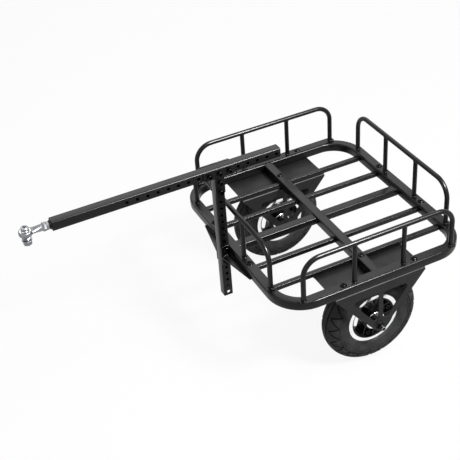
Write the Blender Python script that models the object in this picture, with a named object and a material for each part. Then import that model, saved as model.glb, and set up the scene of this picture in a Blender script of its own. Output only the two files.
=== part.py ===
"""Two-wheeled cargo trailer towed by a drawbar with a spherical rod end.

The bed is a ring of square tube with slats, four hoop rails, two wheels in folded brackets, and a
post and drawbar in front. +X is forward, +Y is left and +Z is up; the origin is on the ground under
the middle of the whole trailer. Sizes are in millimetres, and objects are made in metres.

Most pieces are drawn in the bed's frame, whose zero is the middle of the ring's top face. The
wheels and the hitch are drawn about their own joints.
"""
import math

import bmesh
import bpy
from mathutils import Vector

MM = 0.001

# Fits and stock
GAP = 0.3
SHEET = 3.0
TUBE = 25.0
TUBE_WALL = 2.0
TUBE_CORNER = 3.0
BOLT_RADIUS = 4.0
CAP_HEAD_RADIUS = 6.5
CAP_HEAD_HEIGHT = 8.0
BUTTON_HEAD_RADIUS = 7.0
BUTTON_HEAD_HEIGHT = 4.4
COLLAR_RADIUS = 8.9
COLLAR_HEIGHT = 1.2
NUT_FLATS = 13.0
NUT_HEIGHT = 6.5
THREAD_BEYOND_NUT = 2.0

# Bed ring, beams and slats
RING_HALF_LENGTH = 251.7
RING_HALF_WIDTH = 290.0
RING_CORNER_RADIUS = 79.5
CENTRE_BEAM_HEIGHT = 20.0
SLAT = 12.7
SLAT_WALL = 1.2
SLATS_EACH_SIDE = 2
CROSS_BOLT_FROM_RING = 82.0

# Hoop rails
HOOP_FOOT_FROM_MIDDLE = 208.0
HOOP_HEIGHT = 113.8
HOOP_RADIUS = 6.35
HOOP_WALL = 1.2
HOOP_BEND_RADIUS = 45.0
UPRIGHT_RADIUS = 6.0
UPRIGHT_FROM_MIDDLE = 69.0
STRIP_WIDTH = 22.0
STRIP_BEYOND_FOOT = 11.0
STRIP_CORNER = 8.0
STRIP_SCREW_FROM_MIDDLE = 100.0

# Wheels
TYRE_RADIUS = 129.5
TYRE_WIDTH = 65.0
TYRE_WALL = 4.0
BEAD_RADIUS = 63.5
BEAD_CLEARANCE = 0.5
LIP_RADIUS = 71.3
LIP_BORE = 58.3
LIP_THICKNESS = 2.6
RIM_WIDTH = 49.2
WEB_THICKNESS = 25.0
HUB_RADIUS = 26.0
HUB_LENGTH = 68.8
SPOKES = 3
SPOKE_WIDTH = 31.0
SPOKE_RIB = 3.0
SPOKE_RIB_HEIGHT = 7.5
SPOKE_OPENING_CORNER = 3.0
RIM_SCREW_CIRCLE = 47.7
RIM_SCREW_RADIUS = 3.0
RIM_HEAD_RADIUS = 6.5
RIM_HEAD_HEIGHT = 8.0
FIRST_SPOKE_ANGLE = math.radians(44.5)
TUBE_RUBBER = 2.0
VALVE_RADIUS = 4.0
VALVE_TIP_RADIUS = 3.0
VALVE_REACH = 38.0
VALVE_OFFSET = 10.0
VALVE_INSIDE_TUBE = 1.0

# Bearings and axles
AXLE_RADIUS = 6.0
BEARING_OUTER_RADIUS = 14.0
BEARING_WIDTH = 8.0
BEARING_RECESS = 1.0
SPACER_RADIUS = 8.1
OUTER_SPACER = 19.5
INNER_SPACER = 26.2
AXLE_BOSS_RADIUS = 10.5
AXLE_BOSS_LENGTH = 10.5
AXLE_BEYOND_BOSS = 5.0
AXLE_SOCKET_FLATS = 6.0
AXLE_SOCKET_DEPTH = 4.0

# Wheel brackets
TYRE_CLEARANCE = 2.2
BRACKET_SHORT_OF_TREAD = 2.5
BRACKET_BEND = 1.5
BRACKET_EDGE = 4.0
BRACKET_NOSE = 17.0
WINDOW_BAND = 27.7
WINDOW_STRUT = 12.6
WINDOW_END = 42.6
WINDOW_FOOT = 6.5
WINDOW_CORNER = 9.0
WINDOW_STRUT_CORNER = 5.0

# Post and drawbar
DRAWBAR_HEIGHT = 229.6
DRAWBAR_FRONT = 417.3
DRAWBAR_PITCH = 26.2
HOLES_BEHIND_POST = 6
HOLES_AHEAD_OF_POST = 9
DRAWBAR_TAIL = 11.6
POST_FOOT_DROP = 149.6
POST_PITCH = 20.2
POST_END_MARGIN = 8.0
BRACKET_BOLT_HEIGHT = 2.5
BRACKET_BOLT_STEPS = 2
CAP_THICKNESS = 2.5
CAP_PLUG = 5.0
T_ARM_MARGIN = 14.3
T_LEG_BOLTS = 2
T_LEG_MARGIN = 11.6
T_LEG_OVERHANG = 0.5
T_CORNER = 2.0
T_CHAMFER = 7.0
EAR_MARGIN = 8.5
EAR_CORNER = 3.0
WING_DROP = 19.0
WING_HALF_WIDTH = 130.0
WING_TIP = 4.0

# Hitch
PLUG_LENGTH = 20.0
PLUG_FLANGE = 4.9
PLUG_FLANGE_RADIUS = 11.5
STUD_RADIUS = 6.0
STUD_IN_HOUSING = 20.0
JAM_NUT_FLATS = 19.0
JAM_NUT_HEIGHT = 6.2
SHANK_FLATS = 19.0
SHANK_HEX_LENGTH = 8.0
SHANK_RADIUS = 8.75
SHANK_LENGTH = 48.0
EYE_RADIUS = 16.0
EYE_THICKNESS = 12.0
RACE_RADIUS = 13.0
BALL_SPHERE_RADIUS = 11.1
BALL_WIDTH = 16.0
HITCH_BOLT_RADIUS = 6.0
HITCH_HEAD_RADIUS = 9.0
HITCH_HEAD_HEIGHT = 7.0
HITCH_SPACER_LENGTH = 5.0
HITCH_SPACER_TOP_RADIUS = 7.2
HITCH_SPACER_RADIUS = 11.0
HITCH_PLATE = 5.0
HITCH_FLANGE_RADIUS = 12.0
HITCH_FLANGE = 2.5
HITCH_NUT_FLATS = 19.0
HITCH_NUT_HEIGHT = 10.0

# Steps round a curve
BOLT_STEPS = 8
HOLE_STEPS = 8
PIPE_STEPS = 8
BEND_STEPS = 5
RING_BEND_STEPS = 6
SMALL_TURN_STEPS = 12
BALL_STEPS = 16
RIM_STEPS = 24
TYRE_STEPS = 32
INNER_TUBE_STEPS = 16

# Places that follow from the sizes above
RING_OUT_X = RING_HALF_LENGTH + TUBE / 2
RING_OUT_Y = RING_HALF_WIDTH + TUBE / 2
RING_IN_Y = RING_HALF_WIDTH - TUBE / 2
STRIP_TOP = GAP + SHEET
WEB_TOP = -TUBE - GAP
WEB_BOTTOM = WEB_TOP - SHEET
AXLE_DROP = -WEB_BOTTOM + TYRE_CLEARANCE + TYRE_RADIUS
RING_TOP = TYRE_RADIUS + AXLE_DROP
HUB_HALF = HUB_LENGTH / 2
PLATE_OUT_Y = RING_OUT_Y - SHEET
WHEEL_Y = PLATE_OUT_Y - OUTER_SPACER - HUB_HALF
PLATE_IN_Y = WHEEL_Y - HUB_HALF - INNER_SPACER
CROSS_BOLT_Y = RING_HALF_WIDTH - CROSS_BOLT_FROM_RING
BRACKET_HALF_LENGTH = TYRE_RADIUS - BRACKET_SHORT_OF_TREAD
POST_X = RING_OUT_X + GAP + TUBE / 2
POST_FRONT = POST_X + TUBE / 2
DRAWBAR_END = POST_X + DRAWBAR_FRONT
DRAWBAR_REAR = POST_X - HOLES_BEHIND_POST * DRAWBAR_PITCH - DRAWBAR_TAIL
SIDE_PLATE_IN = TUBE / 2 + GAP
SIDE_PLATE_OUT = SIDE_PLATE_IN + SHEET
T_LEG_BOTTOM = DRAWBAR_HEIGHT - T_LEG_BOLTS * DRAWBAR_PITCH - T_LEG_MARGIN
BRACKET_BOLTS = (BRACKET_BOLT_HEIGHT, BRACKET_BOLT_HEIGHT - BRACKET_BOLT_STEPS * POST_PITCH)
JAM_NUT_X = DRAWBAR_END + 2 * GAP + PLUG_FLANGE
HOUSING_END = JAM_NUT_X + JAM_NUT_HEIGHT + GAP
HITCH_X = HOUSING_END + SHANK_LENGTH
BED_X = -(HITCH_X + EYE_RADIUS - RING_OUT_X) / 2
INNER_TUBE_FLOOR = (BEAD_RADIUS + GAP) / math.cos(math.pi / INNER_TUBE_STEPS)

# Colour, metallic and roughness of each finish
POWDER_COAT = ((0.018, 0.018, 0.020), 0.0, 0.45)
BLACK_OXIDE = ((0.012, 0.012, 0.013), 0.6, 0.3)
ZINC = ((0.62, 0.62, 0.62), 1.0, 0.28)
BRIGHT_STEEL = ((0.70, 0.70, 0.70), 1.0, 0.2)
POLISHED_RIM = ((0.80, 0.80, 0.80), 0.6, 0.25)
TYRE_RUBBER = ((0.016, 0.016, 0.017), 0.0, 0.75)
BUTYL = ((0.010, 0.010, 0.010), 0.0, 0.6)
BLACK_PLASTIC = ((0.014, 0.014, 0.014), 0.0, 0.5)


# Outlines in a plane

def circle(radius, steps, phase=0.0):
    """Points of a circle in order."""
    angles = [phase + 2 * math.pi * i / steps for i in range(steps)]
    return [(radius * math.cos(a), radius * math.sin(a)) for a in angles]


def clear_radius(radius, steps):
    """Corner radius of a polygon that leaves a round hole of this radius free."""
    return radius / math.cos(math.pi / steps)


def hexagon(flats):
    """Outline of a hexagon by its width over the flats."""
    return circle(flats / 2 / math.cos(math.pi / 6), 6, math.pi / 6)


def rounded(corners, radius, steps, closed=True):
    """Outline with its corners rounded by arcs; radius is one value or one for each corner."""
    points = [Vector(corner) for corner in corners]
    radii = radius if isinstance(radius, (list, tuple)) else [radius] * len(points)
    outline = []
    for i, corner in enumerate(points):
        ends = not closed and i in (0, len(points) - 1)
        if ends or radii[i] == 0:
            outline.append(tuple(corner))
            continue
        before = points[i - 1] - corner
        after = points[(i + 1) % len(points)] - corner
        half = before.angle(after) / 2
        back = min(radii[i] / math.tan(half), 0.49 * before.length, 0.49 * after.length)
        arc_radius = back * math.tan(half)
        middle = corner + (before.normalized() + after.normalized()).normalized() * (
            arc_radius / math.sin(half))
        start = corner + before.normalized() * back - middle
        end = corner + after.normalized() * back - middle
        turn = start.angle_signed(end)
        for step in range(steps + 1):
            angle = math.atan2(start.y, start.x) - turn * step / steps
            outline.append((middle.x + arc_radius * math.cos(angle),
                            middle.y + arc_radius * math.sin(angle)))
    return outline


def rectangle(width, height, centre=(0.0, 0.0)):
    """Four corners of a rectangle."""
    x, y = centre
    w, h = width / 2, height / 2
    return [(x - w, y - h), (x + w, y - h), (x + w, y + h), (x - w, y + h)]


def square_tube(size, corner):
    """Outline of a square tube with its corners rounded."""
    return rounded(rectangle(size, size), corner, 1)


# Solids

def on_axis(u, v, height, axis):
    """A point given by its place across an axis and its height along it."""
    return {'X': (height, u, v), 'Y': (u, height, v), 'Z': (u, v, height)}[axis]


def loft(bm, loops, closed=False):
    """Skin a run of like loops; a closed run is a ring, and an open one gets flat ends."""
    rows = [[bm.verts.new(point) for point in loop] for loop in loops]
    pairs = list(zip(rows, rows[1:]))
    if closed:
        pairs.append((rows[-1], rows[0]))
    for low, high in pairs:
        for i in range(len(low)):
            j = (i + 1) % len(low)
            bm.faces.new((low[i], low[j], high[j], high[i]))
    if not closed:
        bm.faces.new(rows[0][::-1])
        bm.faces.new(rows[-1])


def slab(bm, outline, axis, start, end):
    """Extrude an outline along an axis."""
    loft(bm, [[on_axis(u, v, height, axis) for u, v in outline] for height in (start, end)])


def pipe(bm, outer, inner, axis, start, end, centre=(0.0, 0.0)):
    """Extrude a hollow section with open ends."""
    a, b = centre
    loops = []
    for outline, height in ((outer, start), (outer, end), (inner, end), (inner, start)):
        loops.append([on_axis(u + a, v + b, height, axis) for u, v in outline])
    loft(bm, loops, closed=True)


def turned(bm, profile, steps, axis, centre=(0.0, 0.0, 0.0), closed=False):
    """Turn a profile of radius and height about an axis; a closed profile makes a ring."""
    loops = []
    for radius, height in profile:
        loop = [on_axis(u, v, height, axis) for u, v in circle(radius, steps)]
        loops.append([tuple(Vector(point) + Vector(centre)) for point in loop])
    loft(bm, loops, closed)


def sections_along(path, normal, section, closed):
    """Section loops along a flat path, mitred at each of its points."""
    loops = []
    count = len(path)
    for i, point in enumerate(path):
        before = path[i] - path[i - 1] if closed or i > 0 else path[1] - path[0]
        after = path[(i + 1) % count] - path[i] if closed or i < count - 1 else before
        ahead = (before.normalized() + after.normalized()).normalized()
        side = normal.cross(ahead)
        stretch = 1 / math.cos(before.angle(after) / 2)
        loops.append([tuple(point + side * (a * stretch) + normal * b) for a, b in section])
    return loops


# Objects

def clear_scene():
    for thing in list(bpy.data.objects):
        bpy.data.objects.remove(thing, do_unlink=True)


def joint_frame(name, place):
    """An empty that carries the pieces drawn about it."""
    empty = bpy.data.objects.new(name, None)
    empty.location = Vector(place) * MM
    bpy.context.collection.objects.link(empty)
    return empty


def mesh_object(name, bm, frame):
    bmesh.ops.recalc_face_normals(bm, faces=bm.faces)
    bmesh.ops.scale(bm, vec=(MM, MM, MM), verts=bm.verts)
    mesh = bpy.data.meshes.new(name)
    bm.to_mesh(mesh)
    bm.free()
    thing = bpy.data.objects.new(name, mesh)
    thing.parent = frame
    bpy.context.collection.objects.link(thing)
    return thing


def piece(name, bm, finish, frame):
    """A visible piece with its own material, shaded smooth across shallow edges."""
    thing = mesh_object(name, bm, frame)
    thing.data.shade_smooth()
    thing.data.set_sharp_from_angle(angle=math.radians(35))
    colour, metallic, roughness = finish
    material = bpy.data.materials.new(name)
    material.use_nodes = True
    surface = material.node_tree.nodes['Principled BSDF']
    surface.inputs['Base Color'].default_value = (*colour, 1.0)
    surface.inputs['Metallic'].default_value = metallic
    surface.inputs['Roughness'].default_value = roughness
    thing.data.materials.append(material)
    return thing


def combine(thing, name, bm, operation='DIFFERENCE'):
    """Cut a piece by a hidden shape, or join or trim it with one."""
    tool = mesh_object(thing.name + '_' + name, bm, thing.parent)
    tool.hide_render = True
    tool.display_type = 'WIRE'
    modifier = thing.modifiers.new(name, 'BOOLEAN')
    modifier.operation = operation
    modifier.solver = 'EXACT'
    modifier.object = tool


def drill(thing, name, axis, centres, start, end, radius=BOLT_RADIUS + GAP, steps=HOLE_STEPS):
    """Bore like holes along an axis, each at a place across it."""
    bm = bmesh.new()
    phase = math.pi / steps
    for a, b in centres:
        outline = circle(clear_radius(radius, steps), steps, phase)
        slab(bm, [(u + a, v + b) for u, v in outline], axis, start, end)
    combine(thing, name, bm)


# Fasteners, drawn along an axis from the face that the head sits on

def fastener(name, finish, frame, axis, across, seat, way, length, head, nut_end=None):
    """A screw whose shank runs against way, with its nut when that has a place."""
    bm = bmesh.new()
    profile = [(BOLT_RADIUS, seat - way * length), (BOLT_RADIUS, seat)]
    profile += [(radius, seat + way * height) for radius, height in head]
    turned(bm, profile, BOLT_STEPS, axis, on_axis(across[0], across[1], 0.0, axis))
    screw = piece(name, bm, finish, frame)
    if nut_end is not None:
        a, b = across
        bm = bmesh.new()
        outline = [(u + a, v + b) for u, v in hexagon(NUT_FLATS)]
        slab(bm, outline, axis, nut_end, nut_end + way * NUT_HEIGHT)
        combine(screw, 'nut', bm, 'UNION')


def cap_head():
    return [(CAP_HEAD_RADIUS, 0.0), (CAP_HEAD_RADIUS, CAP_HEAD_HEIGHT)]


def button_head():
    return [(COLLAR_RADIUS, 0.0), (COLLAR_RADIUS, COLLAR_HEIGHT),
            (BUTTON_HEAD_RADIUS, COLLAR_HEIGHT), (BUTTON_HEAD_RADIUS * 0.6, BUTTON_HEAD_HEIGHT)]


def nut(bm, axis, across, start, end, flats, bore):
    inner = circle(clear_radius(bore + GAP, 6), 6, math.pi / 6)
    pipe(bm, hexagon(flats), inner, axis, start, end, across)


# Bed

def ring_inner_x(y):
    """Where the ring's inner face lies, ahead of the middle, at a distance y to the side."""
    inner_corner = RING_CORNER_RADIUS - TUBE / 2
    into_corner = abs(y) - (RING_IN_Y - inner_corner)
    face = RING_HALF_LENGTH - TUBE / 2
    if into_corner <= 0:
        return face
    return face - inner_corner + math.sqrt(max(inner_corner ** 2 - into_corner ** 2, 0.0))


def strip_screw_places():
    """Strip screws, each as x, y and whether a wheel bracket lies under it."""
    places = []
    for side in (-1, 1):
        for end in (-1, 1):
            places.append((end * STRIP_SCREW_FROM_MIDDLE, side * RING_HALF_WIDTH, True))
            places.append((side * RING_HALF_LENGTH, end * STRIP_SCREW_FROM_MIDDLE, False))
    return places


def bed_ring(bed):
    corners = rectangle(2 * RING_HALF_LENGTH, 2 * RING_HALF_WIDTH)
    outline = rounded(corners, RING_CORNER_RADIUS, RING_BEND_STEPS)
    path = [Vector((x, y, -TUBE / 2)) for x, y in outline]
    up = Vector((0, 0, 1))
    bm = bmesh.new()
    loft(bm, sections_along(path, up, square_tube(TUBE, TUBE_CORNER), True), closed=True)
    ring = piece('bed_ring', bm, POWDER_COAT, bed)
    bm = bmesh.new()
    bore = TUBE - 2 * TUBE_WALL
    loft(bm, sections_along(path, up, rectangle(bore, bore), True), closed=True)
    combine(ring, 'bore', bm)
    holes = [(x, y) for x, y, _ in strip_screw_places()]
    drill(ring, 'strip_holes', 'Z', holes, -TUBE - 1, 1)


def bar(bm, axis, width, height, across, start, end):
    """A straight rectangular bar; across is the middle of its top edge."""
    a, b = across
    outline = rectangle(width, height, (a, b - height / 2))
    slab(bm, outline, axis, start, end)


def slat_places():
    """Distances of the slats from the middle, so that every clear gap is the same."""
    clear = RING_IN_Y - TUBE / 2 - SLATS_EACH_SIDE * SLAT
    gap = clear / (SLATS_EACH_SIDE + 1)
    return [TUBE / 2 + gap * (i + 1) + SLAT * (i + 0.5) for i in range(SLATS_EACH_SIDE)]


def slat_grid(bed):
    """The cross beam with the centre beams and slats that are welded to its sides."""
    bm, bores = bmesh.new(), bmesh.new()
    wide = RING_IN_Y - GAP
    bar(bm, 'Y', TUBE, TUBE, (0.0, 0.0), -wide, wide)
    grid = piece('slat_grid', bm, POWDER_COAT, bed)
    thin = 2 * TUBE_WALL
    bar(bores, 'Y', TUBE - thin, TUBE - thin, (0.0, -TUBE_WALL), -wide - 1, wide + 1)
    rows = [(0.0, TUBE, CENTRE_BEAM_HEIGHT, TUBE_WALL)]
    rows += [(side * place, SLAT, SLAT, SLAT_WALL) for place in slat_places() for side in (-1, 1)]
    bm = bmesh.new()
    for end in (-1, 1):
        for place, width, height, wall in rows:
            far = ring_inner_x(abs(place) + width / 2) - GAP
            top = -TUBE + height
            bar(bm, 'X', width, height, (place, top), end * (TUBE / 2 - TUBE_WALL / 2), end * far)
            bar(bores, 'X', width - 2 * wall, height - 2 * wall, (place, top - wall),
                end * TUBE / 2, end * (far + 1))
    combine(grid, 'slats', bm, 'UNION')
    combine(grid, 'bores', bores)
    places = [(0.0, side * CROSS_BOLT_Y) for side in (-1, 1)]
    drill(grid, 'bolt_holes', 'Z', places, -TUBE - 1, 1)
    for name, across in zip(('cross_beam_screw_right', 'cross_beam_screw_left'), places):
        nut_end = WEB_BOTTOM - GAP - NUT_HEIGHT
        fastener(name, BLACK_OXIDE, bed, 'Z', across, GAP, 1,
                 GAP - nut_end + THREAD_BEYOND_NUT, button_head(), nut_end)


# Hoop rails

HOOP_SIDES = {
    'hoop_left': ('X', RING_HALF_WIDTH),
    'hoop_right': ('X', -RING_HALF_WIDTH),
    'hoop_front': ('Y', RING_HALF_LENGTH),
    'hoop_rear': ('Y', -RING_HALF_LENGTH),
}


def along_side(run, place, distance):
    """Bed x and y of a point on a side of the bed, at a distance along that side."""
    return (distance, place) if run == 'X' else (place, distance)


def hoop(name, run, place, bed):
    """A bent tube with two uprights, all welded to a flat strip with vents under its feet."""
    bar_height = STRIP_TOP + HOOP_HEIGHT
    half = HOOP_FOOT_FROM_MIDDLE + STRIP_BEYOND_FOOT
    size = (2 * half, STRIP_WIDTH) if run == 'X' else (STRIP_WIDTH, 2 * half)
    bm = bmesh.new()
    outline = rounded(rectangle(*size, along_side(run, place, 0.0)), STRIP_CORNER, 3)
    slab(bm, outline, 'Z', GAP, STRIP_TOP)
    hoop_piece = piece(name, bm, POWDER_COAT, bed)

    uprights = bmesh.new()
    phase = math.pi / PIPE_STEPS
    for distance in (-UPRIGHT_FROM_MIDDLE, UPRIGHT_FROM_MIDDLE):
        x, y = along_side(run, place, distance)
        outline = [(x + u, y + v) for u, v in circle(UPRIGHT_RADIUS, PIPE_STEPS, phase)]
        slab(uprights, outline, 'Z', STRIP_TOP - SHEET / 2, bar_height)
    combine(hoop_piece, 'uprights', uprights, 'UNION')

    normal = Vector((0, 1, 0)) if run == 'X' else Vector((1, 0, 0))
    for step, foot, radius in (('tube', STRIP_TOP - SHEET / 2, HOOP_RADIUS),
                               ('bore', -1.0, HOOP_RADIUS - HOOP_WALL)):
        reach = HOOP_FOOT_FROM_MIDDLE
        corners = [(-reach, foot), (-reach, bar_height), (reach, bar_height), (reach, foot)]
        flat = rounded(corners, HOOP_BEND_RADIUS, BEND_STEPS, closed=False)
        path = [Vector((*along_side(run, place, distance), z)) for distance, z in flat]
        bm = bmesh.new()
        loft(bm, sections_along(path, normal, circle(radius, PIPE_STEPS, phase), False))
        combine(hoop_piece, step, bm, 'UNION' if step == 'tube' else 'DIFFERENCE')
    screws = [along_side(run, place, side * STRIP_SCREW_FROM_MIDDLE) for side in (-1, 1)]
    drill(hoop_piece, 'screw_holes', 'Z', screws, -1, STRIP_TOP + 1)


def hoops(bed):
    for name, (run, place) in HOOP_SIDES.items():
        hoop(name, run, place, bed)
    seat = STRIP_TOP + GAP
    for number, (x, y, on_bracket) in enumerate(strip_screw_places(), 1):
        nut_end = (WEB_BOTTOM if on_bracket else -TUBE) - GAP - NUT_HEIGHT
        fastener(f'strip_screw_{number}', BLACK_OXIDE, bed, 'Z', (x, y), seat, 1,
                 seat - nut_end + THREAD_BEYOND_NUT, button_head(), nut_end)


# Wheel brackets

def bracket_face():
    """Outline of a bracket's plates seen from the side, with the nose round the axle."""
    edge = WEB_TOP - SHEET - BRACKET_EDGE
    rise = edge + AXLE_DROP
    reach = math.hypot(BRACKET_HALF_LENGTH, rise)
    slope = math.atan2(rise, BRACKET_HALF_LENGTH) + math.asin(BRACKET_NOSE / reach)
    apex = edge - BRACKET_HALF_LENGTH * math.tan(slope)
    top = WEB_TOP + 1
    corners = [(-BRACKET_HALF_LENGTH, top), (-BRACKET_HALF_LENGTH, edge), (0.0, apex),
               (BRACKET_HALF_LENGTH, edge), (BRACKET_HALF_LENGTH, top)]
    return rounded(corners, [0, 0, BRACKET_NOSE, 0, 0], 5)


def wheel_bracket(name, side, bed):
    low = -AXLE_DROP - BRACKET_NOSE - 1
    corners = [(RING_OUT_Y, low), (RING_OUT_Y, WEB_TOP), (PLATE_IN_Y - SHEET, WEB_TOP),
               (PLATE_IN_Y - SHEET, low), (PLATE_IN_Y, low), (PLATE_IN_Y, WEB_BOTTOM),
               (PLATE_OUT_Y, WEB_BOTTOM), (PLATE_OUT_Y, low)]
    outer_bend = BRACKET_BEND + SHEET
    radii = [0, outer_bend, outer_bend, 0, 0, BRACKET_BEND, BRACKET_BEND, 0]
    folded = [(side * y, z) for y, z in rounded(corners, radii, 2)]
    bm = bmesh.new()
    slab(bm, folded, 'X', -BRACKET_HALF_LENGTH - 1, BRACKET_HALF_LENGTH + 1)
    bracket = piece(name, bm, POWDER_COAT, bed)

    sides = sorted((side * (PLATE_IN_Y - SHEET - 1), side * (RING_OUT_Y + 1)))
    bm = bmesh.new()
    slab(bm, bracket_face(), 'Y', *sides)
    combine(bracket, 'trim', bm, 'INTERSECT')

    bm = bmesh.new()
    top = WEB_TOP - WINDOW_BAND
    outer = BRACKET_HALF_LENGTH - WINDOW_END
    for end in (-1, 1):
        corners = [(end * WINDOW_STRUT / 2, top), (end * outer, top),
                   (end * WINDOW_STRUT / 2, -AXLE_DROP + WINDOW_FOOT)]
        slab(bm, rounded(corners, [WINDOW_STRUT_CORNER, WINDOW_CORNER, WINDOW_CORNER], 3), 'Y',
             *sides)
    combine(bracket, 'windows', bm)
    bosses = bmesh.new()
    for face, way in ((RING_OUT_Y, 1), (PLATE_IN_Y - SHEET, -1)):
        profile = [(AXLE_BOSS_RADIUS, side * (face - way * SHEET / 2)),
                   (AXLE_BOSS_RADIUS, side * (face + way * AXLE_BOSS_LENGTH))]
        turned(bosses, profile, SMALL_TURN_STEPS, 'Y', (0.0, 0.0, -AXLE_DROP))
    combine(bracket, 'bosses', bosses, 'UNION')
    drill(bracket, 'axle_holes', 'Y', [(0.0, -AXLE_DROP)], sides[0] - TUBE, sides[1] + TUBE,
          AXLE_RADIUS + GAP, SMALL_TURN_STEPS)
    holes = [(x, y) for x, y, on_bracket in strip_screw_places() if on_bracket and y * side > 0]
    drill(bracket, 'bolt_holes', 'Z', holes + [(0.0, side * CROSS_BOLT_Y)],
          WEB_BOTTOM - 1, WEB_TOP + 1)


# Wheels, drawn about the wheel's own middle with +Y out of its left side

def tyre_half(inset):
    """Outer half profile of the tyre from its tread to its bead, as radius and side."""
    half = TYRE_WIDTH / 2
    bead = RIM_WIDTH / 2 - LIP_THICKNESS - BEAD_CLEARANCE
    deep = TYRE_RADIUS - LIP_RADIUS
    if inset == 0:
        return [(TYRE_RADIUS, 0.0), (TYRE_RADIUS - 0.03 * deep, 0.42 * half),
                (TYRE_RADIUS - 0.14 * deep, 0.80 * half), (LIP_RADIUS + 0.52 * deep, half),
                (LIP_RADIUS + 0.10 * deep, 0.87 * half), (LIP_RADIUS + GAP, bead),
                (BEAD_RADIUS + GAP, bead)]
    return [(TYRE_RADIUS - inset - 1, 0.0), (TYRE_RADIUS - inset - 0.12 * deep, 0.62 * half),
            (LIP_RADIUS + 0.52 * deep, half - inset), (LIP_RADIUS, bead - inset),
            (BEAD_RADIUS + GAP, bead - inset)]


def mirrored(profile):
    """A half profile with its mirror image, starting on the far side."""
    return [(radius, -side) for radius, side in profile[:0:-1]] + profile


def tube_section(inset):
    """Section of the inner tube, which fills the tyre down to the rim."""
    wall = tyre_half(TYRE_WALL)
    half = [(wall[0][0] - GAP - inset, 0.0), (wall[1][0] - GAP - inset, wall[1][1] - inset),
            (wall[2][0], wall[2][1] - 3 * GAP - inset),
            (wall[3][0], wall[3][1] - 3 * GAP - inset),
            (INNER_TUBE_FLOOR + inset, wall[3][1] - 3 * GAP - inset)]
    return mirrored(half)


def spoke_angles():
    return [FIRST_SPOKE_ANGLE + 2 * math.pi * i / SPOKES for i in range(SPOKES)]


def at_angle(outline, angle):
    """An outline drawn on the +X side of the wheel, turned to an angle."""
    along, across = math.cos(angle), math.sin(angle)
    return [(u * along - v * across, u * across + v * along) for u, v in outline]


def spoke_opening():
    """Outline of the opening between two parallel-sided spokes."""
    outline = []
    for radius, way in ((HUB_RADIUS + SPOKE_RIB, 1), (LIP_BORE - SPOKE_RIB, -1)):
        reach = math.pi / SPOKES - math.asin(SPOKE_WIDTH / 2 / radius)
        angles = [way * reach * (i / 2 - 1) for i in range(5)]
        outline += [(radius * math.cos(a), radius * math.sin(a)) for a in angles]
    return rounded(outline, [SPOKE_OPENING_CORNER, 0, 0, 0, SPOKE_OPENING_CORNER] * 2, 2)


def spoke_pocket():
    """Outline of the hollow between a spoke's two ribs, which holds its screw."""
    start, end = HUB_RADIUS + 1, LIP_BORE - SPOKE_RIB
    half = SPOKE_WIDTH / 2 - SPOKE_RIB
    corners = [(start, -half), (end, -half), (end, half), (start, half)]
    return rounded(corners, SPOKE_OPENING_CORNER, 2)


def rim_half(name, out, rib, wheel):
    """One half of the split rim with its share of the hub and the screws; out is +1 or -1."""
    bore = clear_radius(BEARING_OUTER_RADIUS - SHEET / 2, RIM_STEPS)
    seat = clear_radius(BEARING_OUTER_RADIUS + GAP, RIM_STEPS)
    seat_floor = HUB_HALF - BEARING_RECESS - BEARING_WIDTH - GAP
    lip = RIM_WIDTH / 2
    web = WEB_THICKNESS / 2
    crest = web + rib
    profile = [(bore, GAP / 2), (bore, seat_floor), (seat, seat_floor), (seat, HUB_HALF),
               (HUB_RADIUS, HUB_HALF), (HUB_RADIUS, crest), (LIP_BORE, crest), (LIP_BORE, lip),
               (LIP_RADIUS, lip), (LIP_RADIUS, lip - LIP_THICKNESS * 0.8),
               (BEAD_RADIUS, lip - LIP_THICKNESS), (BEAD_RADIUS, GAP / 2)]
    bm = bmesh.new()
    turned(bm, [(radius, out * side) for radius, side in profile], RIM_STEPS, 'Y', closed=True)
    half = piece(name, bm, POLISHED_RIM, wheel)

    pockets, heads, openings = bmesh.new(), bmesh.new(), bmesh.new()
    screws = [(RIM_SCREW_CIRCLE * math.cos(a), RIM_SCREW_CIRCLE * math.sin(a))
              for a in spoke_angles()]
    for angle, (x, z) in zip(spoke_angles(), screws):
        slab(pockets, at_angle(spoke_pocket(), angle), 'Y',
             *sorted((out * web, out * (crest + 1))))
        turned(heads, [(RIM_HEAD_RADIUS, out * web / 2),
                       (RIM_HEAD_RADIUS, out * (web + RIM_HEAD_HEIGHT))],
               SMALL_TURN_STEPS, 'Y', (x, 0.0, z))
        slab(openings, at_angle(spoke_opening(), angle + math.pi / SPOKES), 'Y',
             *sorted((0.0, out * (crest + 1))))
    if rib:
        combine(half, 'pockets', pockets)
    combine(half, 'heads', heads, 'UNION')
    combine(half, 'openings', openings)
    drill(half, 'screw_holes', 'Y', screws, *sorted((0.0, out * (web + RIM_HEAD_HEIGHT + 1))),
          RIM_SCREW_RADIUS)
    return half


def valve_angle():
    """The valve comes out in the opening next to the first spoke."""
    return FIRST_SPOKE_ANGLE + math.pi / SPOKES


def radial_pin(bm, profile, steps, side):
    """Turn a profile about the valve's line, which points from the axle to the rim."""
    angle = valve_angle()
    along = Vector((math.cos(angle), 0, math.sin(angle)))
    across = Vector((-math.sin(angle), 0, math.cos(angle)))
    loops = []
    for radius, height in profile:
        base = along * height + Vector((0, side, 0))
        loops.append([tuple(base + across * u + Vector((0, v, 0)))
                      for u, v in circle(radius, steps)])
    loft(bm, loops)


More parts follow.
